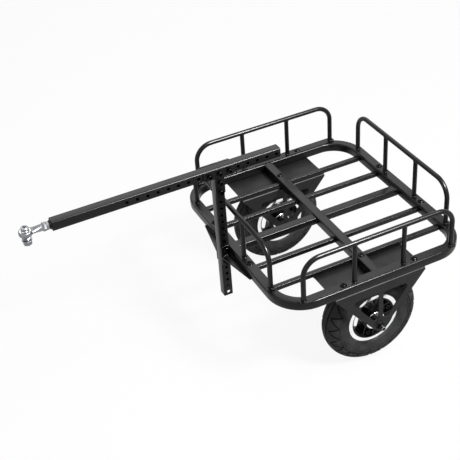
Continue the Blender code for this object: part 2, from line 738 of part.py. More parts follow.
def wheel(prefix, side, frame):
    bm = bmesh.new()
    outer, inner = mirrored(tyre_half(0)), mirrored(tyre_half(TYRE_WALL))
    turned(bm, outer + inner[::-1], TYRE_STEPS, 'Y', closed=True)
    piece(prefix + '_tyre', bm, TYRE_RUBBER, frame)

    bm = bmesh.new()
    turned(bm, tube_section(0), INNER_TUBE_STEPS, 'Y', closed=True)
    inner_tube = piece(prefix + '_inner_tube', bm, BUTYL, frame)
    bm = bmesh.new()
    turned(bm, tube_section(TUBE_RUBBER), INNER_TUBE_STEPS, 'Y', closed=True)
    combine(inner_tube, 'air', bm)

    outer_half = rim_half(prefix + '_rim_outer_half', side, SPOKE_RIB_HEIGHT, frame)
    rim_half(prefix + '_rim_inner_half', -side, 0.0, frame)
    valve_side = side * VALVE_OFFSET
    tube_floor = INNER_TUBE_FLOOR + TUBE_RUBBER
    for thing in (outer_half, inner_tube):
        bm = bmesh.new()
        hole = clear_radius(VALVE_RADIUS + GAP, SMALL_TURN_STEPS)
        radial_pin(bm, [(hole, LIP_BORE - TUBE), (hole, tube_floor + 3 * VALVE_INSIDE_TUBE)],
                   SMALL_TURN_STEPS, valve_side)
        combine(thing, 'valve_hole', bm)
    bm = bmesh.new()
    shoulder = (VALVE_REACH + LIP_BORE) / 2
    radial_pin(bm, [(VALVE_TIP_RADIUS, VALVE_REACH), (VALVE_TIP_RADIUS, shoulder),
                    (VALVE_RADIUS, shoulder), (VALVE_RADIUS, tube_floor + VALVE_INSIDE_TUBE)],
               SMALL_TURN_STEPS, valve_side)
    piece(prefix + '_valve_stem', bm, BLACK_PLASTIC, frame)

    bore = clear_radius(AXLE_RADIUS + GAP, SMALL_TURN_STEPS)
    for name, end in (('outer', side), ('inner', -side)):
        low, high = bearing_span(end)
        bm = bmesh.new()
        turned(bm, [(bore, low), (BEARING_OUTER_RADIUS, low), (BEARING_OUTER_RADIUS, high),
                    (bore, high)], SMALL_TURN_STEPS, 'Y', closed=True)
        piece(f'{prefix}_{name}_bearing', bm, BRIGHT_STEEL, frame)


def bearing_span(end):
    """Where a bearing lies along the axle, from the wheel's middle."""
    high = HUB_HALF - BEARING_RECESS
    return end * (high - BEARING_WIDTH), end * high


# Axles and their spacers, drawn in the bed's frame

def axle(prefix, side, bed):
    """A plain through-axle in the bosses of both plates, with a socket in its outer end."""
    centre = (0.0, 0.0, -AXLE_DROP)
    ends = (PLATE_IN_Y - SHEET - AXLE_BOSS_LENGTH - AXLE_BEYOND_BOSS,
            RING_OUT_Y + AXLE_BOSS_LENGTH + AXLE_BEYOND_BOSS)
    bm = bmesh.new()
    turned(bm, [(AXLE_RADIUS, side * end) for end in ends], SMALL_TURN_STEPS, 'Y', centre)
    shaft = piece(prefix + '_axle', bm, BRIGHT_STEEL, bed)
    bm = bmesh.new()
    socket = [(u, v - AXLE_DROP) for u, v in hexagon(AXLE_SOCKET_FLATS)]
    slab(bm, socket, 'Y', *sorted((side * (ends[1] - AXLE_SOCKET_DEPTH), side * (ends[1] + 1))))
    combine(shaft, 'socket', bm)
    bore = clear_radius(AXLE_RADIUS + GAP, SMALL_TURN_STEPS)
    runs = {'inner': (PLATE_IN_Y + GAP, WHEEL_Y + bearing_span(-1)[1] - GAP),
            'outer': (WHEEL_Y + bearing_span(1)[1] + GAP, PLATE_OUT_Y - GAP)}
    for name, (start, end) in runs.items():
        bm = bmesh.new()
        profile = [(bore, side * start), (SPACER_RADIUS, side * start),
                   (SPACER_RADIUS, side * end), (bore, side * end)]
        turned(bm, profile, SMALL_TURN_STEPS, 'Y', centre, closed=True)
        piece(f'{prefix}_{name}_spacer', bm, ZINC, bed)


# Post and its bracket

def post_hole_heights():
    """The post's holes, stepped up and down from the bracket's upper bolt."""
    bore = BOLT_RADIUS + GAP
    foot = -POST_FOOT_DROP
    heights = []
    height = BRACKET_BOLT_HEIGHT
    while height + bore < T_LEG_BOTTOM:
        heights.append(height)
        height += POST_PITCH
    height = BRACKET_BOLT_HEIGHT - POST_PITCH
    while height - POST_END_MARGIN > foot:
        heights.append(height)
        height -= POST_PITCH
    leg = [DRAWBAR_HEIGHT - DRAWBAR_PITCH * (i + 1) for i in range(T_LEG_BOLTS)]
    return heights + leg


def end_cap(name, axis, across, end, way, frame):
    """A moulded cap: a plate over the tube's end and a short plug inside it."""
    bore = TUBE - 2 * TUBE_WALL - 2 * GAP
    outer, inner = square_tube(TUBE, TUBE_CORNER), square_tube(bore, TUBE_CORNER / 2)
    a, b = across
    seat = end - way * CAP_THICKNESS
    loops = []
    for outline, height in ((outer, end), (outer, seat), (inner, seat),
                            (inner, seat - way * (GAP + CAP_PLUG))):
        loops.append([on_axis(u + a, v + b, height, axis) for u, v in outline])
    bm = bmesh.new()
    loft(bm, loops)
    piece(name, bm, BLACK_PLASTIC, frame)


def through_bolts(name, places, bed):
    """Cap screws from the left through both side plates, with nuts on the right."""
    seat = SIDE_PLATE_OUT + GAP
    nut_end = -seat - NUT_HEIGHT
    for number, across in enumerate(places, 1):
        fastener(f'{name}_{number}', BLACK_OXIDE, bed, 'Y', across, seat, 1,
                 seat - nut_end + THREAD_BEYOND_NUT, cap_head(), nut_end)


def post(bed):
    inner = TUBE - 2 * TUBE_WALL
    bm = bmesh.new()
    pipe(bm, square_tube(TUBE, TUBE_CORNER), square_tube(inner, TUBE_CORNER / 2), 'Z',
         -POST_FOOT_DROP, DRAWBAR_HEIGHT - TUBE / 2 - GAP, (POST_X, 0.0))
    upright = piece('post', bm, POWDER_COAT, bed)
    drill(upright, 'holes', 'Y', [(POST_X, height) for height in post_hole_heights()],
          -TUBE, TUBE)


def post_brackets(bed):
    """On each side an ear that holds the post and a wing plate, welded together."""
    rear = RING_OUT_X + GAP
    top, bottom = BRACKET_BOLTS[0] + EAR_MARGIN, BRACKET_BOLTS[1] - EAR_MARGIN
    face = rounded([(rear, bottom), (POST_FRONT, bottom), (POST_FRONT, top), (rear, top)],
                   [0, EAR_CORNER, EAR_CORNER, 0], 2)
    bolts = [(POST_X, height) for height in BRACKET_BOLTS]
    for name, side in (('post_bracket_left', 1), ('post_bracket_right', -1)):
        bm = bmesh.new()
        slab(bm, face, 'Y', side * SIDE_PLATE_IN, side * SIDE_PLATE_OUT)
        bracket = piece(name, bm, POWDER_COAT, bed)
        corners = [(rear, SIDE_PLATE_OUT - SHEET / 2), (POST_FRONT, SIDE_PLATE_OUT - SHEET / 2),
                   (POST_FRONT, SIDE_PLATE_OUT + 1), (rear + WING_TIP, WING_HALF_WIDTH),
                   (rear, WING_HALF_WIDTH)]
        bm = bmesh.new()
        slab(bm, [(x, side * y) for x, y in corners], 'Z', -WING_DROP - SHEET, -WING_DROP)
        combine(bracket, 'wing', bm, 'UNION')
        drill(bracket, 'bolt_holes', 'Y', bolts, -TUBE, TUBE)
    through_bolts('post_bracket_bolt', bolts, bed)


# Drawbar and T-plates

def t_bolt_places():
    arms = [(POST_X + step * DRAWBAR_PITCH, DRAWBAR_HEIGHT) for step in (-1, 0, 1)]
    leg = [(POST_X, DRAWBAR_HEIGHT - DRAWBAR_PITCH * (i + 1)) for i in range(T_LEG_BOLTS)]
    return arms + leg


def t_plates(bed):
    arm = DRAWBAR_PITCH + T_ARM_MARGIN
    half = TUBE / 2
    leg = half + T_LEG_OVERHANG
    top, under = DRAWBAR_HEIGHT + half, DRAWBAR_HEIGHT - half
    corners = [(-arm, top), (-arm, under), (-leg, under), (-leg, T_LEG_BOTTOM + T_CHAMFER),
               (-leg + T_CHAMFER, T_LEG_BOTTOM), (leg, T_LEG_BOTTOM), (leg, under),
               (arm, under), (arm, top)]
    radii = [T_CORNER, T_CORNER, 0, 0, 0, T_CORNER, 0, T_CORNER, T_CORNER]
    face = [(POST_X + x, z) for x, z in rounded(corners, radii, 2)]
    for name, side in (('t_plate_left', 1), ('t_plate_right', -1)):
        bm = bmesh.new()
        slab(bm, face, 'Y', side * SIDE_PLATE_IN, side * SIDE_PLATE_OUT)
        plate = piece(name, bm, POWDER_COAT, bed)
        drill(plate, 'bolt_holes', 'Y', t_bolt_places(), -TUBE, TUBE)
    through_bolts('t_plate_bolt', t_bolt_places(), bed)


def drawbar(bed):
    bm = bmesh.new()
    inner = TUBE - 2 * TUBE_WALL
    rear = DRAWBAR_REAR + CAP_THICKNESS + GAP
    pipe(bm, square_tube(TUBE, TUBE_CORNER), square_tube(inner, TUBE_CORNER / 2), 'X',
         rear, DRAWBAR_END, (0.0, DRAWBAR_HEIGHT))
    bar = piece('drawbar', bm, POWDER_COAT, bed)
    steps = range(-HOLES_BEHIND_POST, HOLES_AHEAD_OF_POST + 1)
    drill(bar, 'holes', 'Y', [(POST_X + i * DRAWBAR_PITCH, DRAWBAR_HEIGHT) for i in steps],
          -TUBE, TUBE)
    end_cap('drawbar_end_cap', 'X', (0.0, DRAWBAR_HEIGHT), DRAWBAR_REAR, -1, bed)

    insert = square_tube(TUBE - 2 * TUBE_WALL - 2 * GAP, TUBE_CORNER / 2)
    bm = bmesh.new()
    slab(bm, [(u, v + DRAWBAR_HEIGHT) for u, v in insert], 'X', DRAWBAR_END - PLUG_LENGTH,
         DRAWBAR_END + 2 * GAP)
    plug = piece('hitch_plug', bm, POWDER_COAT, bed)
    turnings = bmesh.new()
    flange = DRAWBAR_END + GAP
    turned(turnings, [(PLUG_FLANGE_RADIUS, flange), (PLUG_FLANGE_RADIUS, flange + PLUG_FLANGE),
                      (STUD_RADIUS, flange + PLUG_FLANGE),
                      (STUD_RADIUS, HOUSING_END + STUD_IN_HOUSING)],
           SMALL_TURN_STEPS, 'X', (0.0, 0.0, DRAWBAR_HEIGHT))
    combine(plug, 'stud', turnings, 'UNION')
    bm = bmesh.new()
    nut(bm, 'X', (0.0, DRAWBAR_HEIGHT), JAM_NUT_X, JAM_NUT_X + JAM_NUT_HEIGHT, JAM_NUT_FLATS,
        STUD_RADIUS)
    piece('jam_nut', bm, ZINC, bed)


# Rod end, drawn about the ball's middle with its shank towards the trailer

def hexagon_of_twelve(flats):
    """A hexagon with a point in the middle of each side, to join a twelve-sided round."""
    return [(u * (1.0 if i % 2 else math.cos(math.pi / 6)),
             v * (1.0 if i % 2 else math.cos(math.pi / 6)))
            for i, (u, v) in enumerate(circle(flats / 2 / math.cos(math.pi / 6), 12))]


def rod_end(hitch, ball_frame):
    bm = bmesh.new()
    eye_half = EYE_THICKNESS / 2
    slab(bm, circle(EYE_RADIUS, RIM_STEPS), 'Z', -eye_half, eye_half)
    housing = piece('rod_end_housing', bm, BRIGHT_STEEL, hitch)
    hexagonal = hexagon_of_twelve(SHANK_FLATS)
    shank = circle(SHANK_RADIUS, 12)
    hex_end = -SHANK_LENGTH + SHANK_HEX_LENGTH
    loops = [[on_axis(u, v, height, 'X') for u, v in outline] for outline, height in
             ((hexagonal, -SHANK_LENGTH), (hexagonal, hex_end), (shank, hex_end + 1),
              (circle(eye_half * 0.95, 12), -RACE_RADIUS))]
    bm = bmesh.new()
    loft(bm, loops)
    combine(housing, 'shank', bm, 'UNION')
    drill(housing, 'race_seat', 'Z', [(0.0, 0.0)], -EYE_RADIUS, EYE_RADIUS,
          RACE_RADIUS + GAP, BALL_STEPS)
    drill(housing, 'stud_hole', 'X', [(0.0, 0.0)], -SHANK_LENGTH - 1,
          -SHANK_LENGTH + STUD_IN_HOUSING + 1, STUD_RADIUS + GAP, SMALL_TURN_STEPS)

    sphere = BALL_SPHERE_RADIUS + GAP
    rise = [eye_half * (i / 2 - 1) for i in range(5)]
    hollow = [(clear_radius(math.sqrt(sphere ** 2 - z * z), BALL_STEPS), z) for z in rise]
    bm = bmesh.new()
    turned(bm, hollow + [(RACE_RADIUS, eye_half), (RACE_RADIUS, -eye_half)], BALL_STEPS, 'Z',
           closed=True)
    piece('rod_end_race', bm, BRIGHT_STEEL, hitch)

    half = BALL_WIDTH / 2
    rise = [half * (i / 2 - 1) for i in range(5)]
    skin = [(math.sqrt(BALL_SPHERE_RADIUS ** 2 - z * z), z) for z in rise]
    bore = clear_radius(HITCH_BOLT_RADIUS + GAP, BALL_STEPS)
    bm = bmesh.new()
    turned(bm, skin + [(bore, half), (bore, -half)], BALL_STEPS, 'Z', closed=True)
    piece('rod_end_ball', bm, BRIGHT_STEEL, ball_frame)


def hitch_bolt(bolt_frame):
    seat = BALL_WIDTH / 2 + GAP
    spacer_end = -seat - HITCH_SPACER_LENGTH
    nut_top = spacer_end - HITCH_PLATE - 2 * GAP
    nut_end = nut_top - HITCH_FLANGE - HITCH_NUT_HEIGHT
    bm = bmesh.new()
    turned(bm, [(HITCH_BOLT_RADIUS, nut_end - THREAD_BEYOND_NUT), (HITCH_BOLT_RADIUS, seat),
                (HITCH_HEAD_RADIUS, seat), (HITCH_HEAD_RADIUS, seat + HITCH_HEAD_HEIGHT)],
           BALL_STEPS, 'Z')
    piece('hitch_bolt', bm, ZINC, bolt_frame)
    bore = clear_radius(HITCH_BOLT_RADIUS + GAP, BALL_STEPS)
    bm = bmesh.new()
    turned(bm, [(bore, -seat), (HITCH_SPACER_TOP_RADIUS + GAP, -seat),
                (HITCH_SPACER_RADIUS, spacer_end), (bore, spacer_end)], BALL_STEPS, 'Z',
           closed=True)
    piece('hitch_spacer', bm, ZINC, bolt_frame)
    bm = bmesh.new()
    slab(bm, hexagon(HITCH_NUT_FLATS), 'Z', nut_end, nut_top - HITCH_FLANGE / 2)
    flanged = piece('hitch_nut', bm, ZINC, bolt_frame)
    bm = bmesh.new()
    turned(bm, [(HITCH_FLANGE_RADIUS, nut_top - HITCH_FLANGE), (HITCH_FLANGE_RADIUS, nut_top)],
           BALL_STEPS, 'Z')
    combine(flanged, 'flange', bm, 'UNION')
    drill(flanged, 'thread', 'Z', [(0.0, 0.0)], nut_end - 1, nut_top + 1,
          HITCH_BOLT_RADIUS + GAP, BALL_STEPS)


def build():
    clear_scene()
    bed = joint_frame('bed_frame', (BED_X, 0.0, RING_TOP))
    bed_ring(bed)
    slat_grid(bed)
    hoops(bed)
    wheel_bracket('wheel_bracket_left', 1, bed)
    wheel_bracket('wheel_bracket_right', -1, bed)
    for prefix, side in (('left', 1), ('right', -1)):
        axle(prefix, side, bed)
        frame = joint_frame(prefix + '_wheel_axis', (BED_X, side * WHEEL_Y, TYRE_RADIUS))
        wheel(prefix, side, frame)
    post(bed)
    post_brackets(bed)
    t_plates(bed)
    drawbar(bed)
    ball_place = (BED_X + HITCH_X, 0.0, RING_TOP + DRAWBAR_HEIGHT)
    hitch = joint_frame('hitch_frame', ball_place)
    ball_frame = joint_frame('hitch_ball_axis', ball_place)
    bolt_frame = joint_frame('hitch_bolt_axis', ball_place)
    rod_end(hitch, ball_frame)
    hitch_bolt(bolt_frame)


build()
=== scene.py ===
"""Finish, fine shapes and lighting of the two-wheeled cargo trailer.

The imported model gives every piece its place. Shapes are drawn in millimetres about the same
axes and made in metres: +X is forward, +Y is the trailer's left and +Z is up.
"""
import math

import bmesh
import bpy
from mathutils import Matrix, Vector


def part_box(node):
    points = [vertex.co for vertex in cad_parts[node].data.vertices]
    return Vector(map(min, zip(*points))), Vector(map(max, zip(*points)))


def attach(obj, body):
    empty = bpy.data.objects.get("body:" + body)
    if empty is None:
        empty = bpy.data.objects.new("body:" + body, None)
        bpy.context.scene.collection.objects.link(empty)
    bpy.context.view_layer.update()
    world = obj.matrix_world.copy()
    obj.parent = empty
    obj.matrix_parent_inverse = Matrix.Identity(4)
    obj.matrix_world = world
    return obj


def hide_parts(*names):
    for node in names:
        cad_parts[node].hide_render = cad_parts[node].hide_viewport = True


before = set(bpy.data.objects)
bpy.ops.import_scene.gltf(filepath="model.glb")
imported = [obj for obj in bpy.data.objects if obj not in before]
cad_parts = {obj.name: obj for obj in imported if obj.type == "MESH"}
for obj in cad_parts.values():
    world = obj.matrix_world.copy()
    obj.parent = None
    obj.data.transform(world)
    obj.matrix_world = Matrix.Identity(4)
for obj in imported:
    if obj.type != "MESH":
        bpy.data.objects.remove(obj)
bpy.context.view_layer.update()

MM = 0.001

# Stock sizes
SHEET = 3.0
TUBE_CORNER = 3.0
BENT_TUBE_CORNER = 4.5
TUBE_INNER_CORNER = 1.2
TUBE_WALL = 2.0
HOLE_RADIUS = 4.3
HOLE_ROUNDING = 0.35
EDGE_ROUNDING = 0.5

# Weld beads: their radii, how far they stand off the faces that they join, the length of a
# ripple, and how thin a bead gets between ripples and at its ends
SLAT_WELD = 1.36
FOOT_WELD = 1.3
SADDLE_WELD = 1.1
WING_WELD = 1.4
WELD_RISE = 0.2
WELD_SPREAD = 0.3
WELD_RIPPLE = 3.2
WELD_VALLEY = 0.86
WELD_TIP = 0.3

# Screws
BOLT_RADIUS = 4.0
BUTTON_HEIGHT = 4.4
CAP_HEIGHT = 8.0
NUT_FLATS = 13.0
NUT_HEIGHT = 6.5
SCREW_PAST_NUT = 2.0

# Bed
RING_CORNER_RADIUS = 79.5
SLAT = 12.7
SLAT_CORNER = 1.6
CENTRE_BEAM_HEIGHT = 20.0
CENTRE_BEAM_CORNER = 2.5
HOOP_RADIUS = 6.35
HOOP_BEND_RADIUS = 45.0
HOOP_FOOT_MARGIN = 11.0
UPRIGHT_RADIUS = 6.0
UPRIGHT_FROM_MIDDLE = 69.0
STRIP_WIDTH = 22.0
STRIP_CORNER = 8.0
STRIP_ROUNDING = 0.2

# Wheel brackets
BRACKET_BEND = 1.5
BRACKET_EDGE = 4.0
BRACKET_NOSE = 17.0
WINDOW_BAND = 27.7
WINDOW_STRUT = 12.6
WINDOW_END = 42.6
WINDOW_FOOT = 6.5
WINDOW_CORNER = 9.0
WINDOW_STRUT_CORNER = 5.0
AXLE_BOSS_RADIUS = 10.5
AXLE_BOSS_LENGTH = 10.5
AXLE_HEAD_RADIUS = 6.0
AXLE_BORE = 6.3
AXLE_SOCKET_FLATS = 8.0
AXLE_SOCKET_DEPTH = 6.0

# Wheels
LIP_RADIUS = 71.3
LIP_BORE = 58.3
POLISHED_BORE = 60.7
LIP_THICKNESS = 2.6
BEAD_RADIUS = 63.5
RIM_WIDTH = 49.2
WEB_THICKNESS = 25.0
HUB_RADIUS = 26.0
HUB_FACE_RADIUS = HUB_RADIUS - 0.6
HUB_FACE_BORE = 17.5
HUB_BORE = 14.3
SPOKES = 3
FIRST_SPOKE_ANGLE = math.radians(44.5)
SPOKE_WIDTH = 31.0
SPOKE_RIB = 3.0
SPOKE_RIB_HEIGHT = 7.5
SPOKE_OPENING_CORNER = 3.0
RIM_SCREW_CIRCLE = 47.7
RIM_NUT_FLATS = 10.0
RIM_NUT_HEIGHT = 6.0
RIM_BOLT_RADIUS = 3.0
HALVES_GAP = 0.15
VALVE_TIP_RADIUS = 38.0

# Tread, as distances over the tyre's skin from its crown
TREAD_PITCHES = 20
FIRST_NOTCH_ANGLE = math.radians(2.8)
NOTCH_LEAN = 0.67
TREAD_DEPTH = 2.6
TREAD_ROOT = 0.8
NARROWEST_BLOCK_ANGLE = 0.004
GROOVE = 3.4
CENTRE_GROOVE = 7.5
SHOULDER_START = 15.0
SHOULDER_END = 41.0
SHOULDER_RIB = 43.4
SHOULDER_RIB_HEIGHT = 1.5
TREAD_END = 49.2

# Post and drawbar
DRAWBAR_PITCH = 26.2
HOLES_AHEAD = 10
POST_PITCH = 20.2
POST_END_MARGIN = 8.0
CAP_THICKNESS = 2.5
T_ARM_MARGIN = 14.3
T_LEG_OVERHANG = 0.5
T_CORNER = 2.0
T_CHAMFER = 7.0
EAR_CORNER = 3.0
WING_DROP = 19.0
WING_TIP = 4.0

# Hitch
PLUG_FLANGE_RADIUS = 11.5
HITCH_FLATS = 19.0
SHANK_HEX_LENGTH = 8.0
SHANK_RADIUS = 8.75
EYE_THICKNESS = 12.0
RACE_RADIUS = 13.0
STUD_RADIUS = 6.0
THREAD_PITCH = 1.75
BALL_BORE = 6.3
BOLT_HEAD_HEIGHT = 7.0
WASHER_BORE = 6.4

# Width of the studio floor in metres
FLOOR_WIDTH = 24.0

# Steps round a curve
FINE_TURN = 96
ROUND_TURN = 48
SMALL_TURN = 32
PIPE_TURN = 24
BEND_STEPS = 14
CORNER_STEPS = 4
TYRE_TURN = 144


# Colours and shader nodes

def linear(hex_code):
    """Linear colour of an sRGB hex value."""
    channels = [int(hex_code[i:i + 2], 16) / 255 for i in (1, 3, 5)]
    return [c / 12.92 if c <= 0.04045 else ((c + 0.055) / 1.055) ** 2.4 for c in channels] + [1.0]


def add(tree, kind, inputs=None, **settings):
    """Add a shader node; an input is a value, or the output of another node to link."""
    node = tree.nodes.new('ShaderNode' + kind)
    for name, value in settings.items():
        setattr(node, name, value)
    for name, value in (inputs or {}).items():
        if isinstance(value, bpy.types.NodeSocket):
            tree.links.new(value, node.inputs[name])
        else:
            node.inputs[name].default_value = value
    return node


def empty_tree(owner):
    """The cleared node tree of a material or a world."""
    owner.use_nodes = True
    owner.node_tree.nodes.clear()
    return owner.node_tree


def per_mm(size):
    """Texture scale whose pattern repeats about every size millimetres."""
    return 1.0 / (size * MM)


def patches(tree, size, low, high, detail=3.0, edges=(0.35, 0.65)):
    """Cloudy blend between two colours, in patches about size millimetres across."""
    place = add(tree, 'TexCoord').outputs['Object']
    noise = add(tree, 'TexNoise', {'Vector': place, 'Scale': per_mm(size), 'Detail': detail})
    ramp = add(tree, 'ValToRGB', {'Fac': noise.outputs['Fac']})
    for stop, edge, colour in zip(ramp.color_ramp.elements, edges, (low, high)):
        stop.position = edge
        stop.color = colour
    return ramp.outputs['Color']


def bumps(tree, size, height, detail=2.0, rings=False):
    """Random grain, or rings about a wheel's axle, of a size and a height in millimetres."""
    place = add(tree, 'TexCoord').outputs['Object']
    if rings:
        pattern = add(tree, 'TexWave', {'Vector': place, 'Scale': per_mm(size * 2 * math.pi)},
                      wave_type='RINGS', rings_direction='Y')
    else:
        pattern = add(tree, 'TexNoise', {'Vector': place, 'Scale': per_mm(size),
                                         'Detail': detail})
    bump = add(tree, 'Bump', {'Height': pattern.outputs['Fac'], 'Distance': height * MM,
                              'Strength': 1.0})
    return bump.outputs['Normal']


def new_material(name, colour, rough, grain=None, **values):
    """A Principled surface, with a few of its sockets given plain values.

    Colour and rough hold a size for their patches in millimetres and the two ends to blend.
    """
    material = bpy.data.materials.new(name)
    tree = empty_tree(material)
    inputs = {socket.replace('_', ' '): value for socket, value in values.items()}
    size, low, high, *softness = colour
    inputs['Base Color'] = patches(tree, size, linear(low), linear(high), *softness)
    size, low, high = rough
    inputs['Roughness'] = patches(tree, size, [low] * 3 + [1.0], [high] * 3 + [1.0])
    if grain:
        inputs['Normal'] = bumps(tree, **grain)
    surface = add(tree, 'BsdfPrincipled', inputs)
    add(tree, 'OutputMaterial', {'Surface': surface.outputs['BSDF']})
    return material


# Materials, each named for the real one and how its surface was made, but for one that paints
# shade in the tyre's grooves

# Polyester powder coat baked on steel: satin black with a soft orange peel. The real peel is
# about 1 mm across, too fine to see on a whole trailer, so it is drawn at 2.5 mm.
POWDER = new_material('baked_black_powder_coat', (40.0, '#0f0f10', '#141416'),
                      (60.0, 0.26, 0.32), dict(size=2.5, height=0.02), IOR=1.5,
                      Specular_IOR_Level=0.2)

# Powder coat of a matt grade on folded sheet: an even soft black. The grit of a matt grade is
# 0.3 mm, drawn at 1.2 mm so that it shows.
MATT = new_material('baked_matt_powder_coat', (55.0, '#1f1f20', '#252527'),
                    (45.0, 0.42, 0.48), dict(size=1.2, height=0.03), IOR=1.5,
                    Specular_IOR_Level=0.17)

# Heat-treated screw steel with an oiled black oxide skin: dark with sharp glints
OXIDE = new_material('oiled_black_oxide_steel', (6.0, '#18181a', '#232325'),
                     (4.0, 0.14, 0.2), Metallic=1.0)

# Bright electroplated zinc on turned steel: light silver, a little cloudy
ZINC = new_material('bright_zinc_plated_steel', (9.0, '#707275', '#8d8f92'),
                    (5.0, 0.28, 0.4), dict(size=1.5, height=0.01), Metallic=1.0)

# Zinc plate dipped to a black passivation: near black with a faint metal sheen
BLACK_ZINC = new_material('black_passivated_zinc', (5.0, '#161617', '#222224'),
                          (4.0, 0.2, 0.28), Metallic=1.0)

# Hardened steel ground to size: clean and mirror-like
STEEL = new_material('ground_bearing_steel', (12.0, '#a2a3a5', '#b7b8b9'),
                     (3.0, 0.12, 0.2), Metallic=1.0)

# Plain turned steel left oily: darker than a ground face, with soft streaks
AXLE_STEEL = new_material('oiled_turned_steel', (7.0, '#8a8b8d', '#a5a6a8'),
                          (3.0, 0.2, 0.3), Metallic=1.0)

# Cast alloy rim lip skimmed on a lathe: near white with fine turning rings. Real tool marks are
# 0.1 mm apart; at 0.8 mm the rings just show.
LIP = new_material('lathe_turned_aluminium', (30.0, '#f0f0f0', '#fafafa'), (8.0, 0.16, 0.24),
                   dict(size=0.8, height=0.006, rings=True), Metallic=1.0)

# Black stoving enamel over a sand-cast alloy wheel centre: glossy on a slightly wavy skin
ENAMEL = new_material('black_enamelled_alloy_casting', (25.0, '#0a0a0b', '#101011'),
                      (12.0, 0.28, 0.38), dict(size=4.0, height=0.03), IOR=1.5,
                      Specular_IOR_Level=0.2)

# Moulded tyre rubber: dull black with a faint bloom
TREAD = new_material('vulcanised_tyre_rubber', (22.0, '#3e3e3f', '#4a4a4b', 5.0),
                     (10.0, 0.58, 0.72), dict(size=1.8, height=0.05, detail=4.0), IOR=1.52,
                     Specular_IOR_Level=0.05)

# The same rubber drawn a deeper black on the block sides and the carcass between the blocks:
# painted shade in the grooves
PAINTED_GROOVE_SHADE = new_material('tyre_rubber_painted_groove_shade', (22.0, '#131314', '#1a1a1b', 5.0),
                       (10.0, 0.55, 0.65), IOR=1.52, Specular_IOR_Level=0.1)

# Extruded butyl inner tube: smooth dull black with talc left in the low places
BUTYL = new_material('extruded_butyl_rubber', (5.0, '#1a1a1a', '#333333', 3.0, (0.5, 0.9)),
                     (8.0, 0.5, 0.7), IOR=1.5)

# Injection-moulded black nylon. The mould's spark-eroded grain is 0.2 mm; at 0.8 mm it still
# reads as a fine texture.
NYLON = new_material('moulded_black_nylon', (8.0, '#0c0c0c', '#121212'), (5.0, 0.45, 0.55),
                     dict(size=0.8, height=0.03), IOR=1.53, Specular_IOR_Level=0.2)


# Outlines in a plane

def circle(radius, steps, phase=0.0):
    angles = [phase + 2 * math.pi * i / steps for i in range(steps)]
    return [(radius * math.cos(a), radius * math.sin(a)) for a in angles]


def hex_corner(flats):
    """Radius of a hexagon's corners, from its width across flats."""
    return flats / 2 / math.cos(math.pi / 6)


def hexagon(flats):
    return circle(hex_corner(flats), 6, math.pi / 6)


def rectangle(width, height, centre=(0.0, 0.0)):
    x, y = centre
    w, h = width / 2, height / 2
    return [(x - w, y - h), (x + w, y - h), (x + w, y + h), (x - w, y + h)]


def rounded(corners, radius, steps, closed=True):
    """Outline with its corners rounded by arcs; radius is one value or one for each corner."""
    points = [Vector(corner) for corner in corners]
    radii = radius if isinstance(radius, (list, tuple)) else [radius] * len(points)
    outline = []
    for i, corner in enumerate(points):
        if radii[i] == 0 or (not closed and i in (0, len(points) - 1)):
            outline.append(tuple(corner))
            continue
        before = points[i - 1] - corner
        after = points[(i + 1) % len(points)] - corner
        half = before.angle(after) / 2
        back = min(radii[i] / math.tan(half), 0.49 * before.length, 0.49 * after.length)
        arc_radius = back * math.tan(half)
        middle = corner + (before.normalized() + after.normalized()).normalized() * (
            arc_radius / math.sin(half))
        start = corner + before.normalized() * back - middle
        end = corner + after.normalized() * back - middle
        turn = start.angle_signed(end)
        for step in range(steps + 1):
            angle = math.atan2(start.y, start.x) - turn * step / steps
            outline.append((middle.x + arc_radius * math.cos(angle),
                            middle.y + arc_radius * math.sin(angle)))
    return outline


def tube_outline(width, corner=TUBE_CORNER):
    return rounded(rectangle(width, width), corner, CORNER_STEPS)


def moved(outline, across):
    return [(u + across[0], v + across[1]) for u, v in outline]


# Solids, drawn in millimetres

def on_axis(u, v, height, axis):
    return {'X': (height, u, v), 'Y': (u, height, v), 'Z': (u, v, height)}[axis]


def loft(bm, loops, closed=False):
    rows = [[bm.verts.new(point) for point in loop] for loop in loops]
    pairs = list(zip(rows, rows[1:]))
    if closed:
        pairs.append((rows[-1], rows[0]))
    for low, high in pairs:
        for i in range(len(low)):
            j = (i + 1) % len(low)
            bm.faces.new((low[i], low[j], high[j], high[i]))
    if not closed:
        bm.faces.new(rows[0][::-1])
        bm.faces.new(rows[-1])


def slab(outline, axis, start, end, bm=None):
    bm = bm or bmesh.new()
    loft(bm, [[on_axis(u, v, height, axis) for u, v in outline] for height in (start, end)])
    return bm


def rod_profile(radius, start, end, chamfer, bore=None):
    """Half section of a rod with chamfered ends, or of a sleeve if it has a bore."""
    back = math.copysign(chamfer, end - start)
    outside = [(radius - chamfer, start), (radius, start + back), (radius, end - back),
               (radius - chamfer, end)]
    return [(bore, start)] + outside + [(bore, end)] if bore else outside


def turned(profile, steps, axis, centre=(0.0, 0.0, 0.0), closed=False, bm=None):
    """Turn a profile of radius and height about an axis through the centre."""
    bm = bm or bmesh.new()
    loops = []
    for radius, height in profile:
        ring = [on_axis(u, v, height, axis) for u, v in circle(radius, steps)]
        loops.append([tuple(Vector(point) + Vector(centre)) for point in ring])
    loft(bm, loops, closed)
    return bm


def swept(path, section, normal, closed=False):
    """Carry a section along a flat path, mitred at each of its points."""
    bm = bmesh.new()
    loops, count = [], len(path)
    for i, point in enumerate(path):
        before = path[i] - path[i - 1] if closed or i > 0 else path[1] - path[0]
        after = path[(i + 1) % count] - path[i] if closed or i < count - 1 else before
        ahead = (before.normalized() + after.normalized()).normalized()
        stretch = 1 / math.cos(before.angle(after) / 2)
        side = normal.cross(ahead)
        loops.append([tuple(point + side * (a * stretch) + normal * b) for a, b in section])
    loft(bm, loops, closed)
    return bm


# Pieces

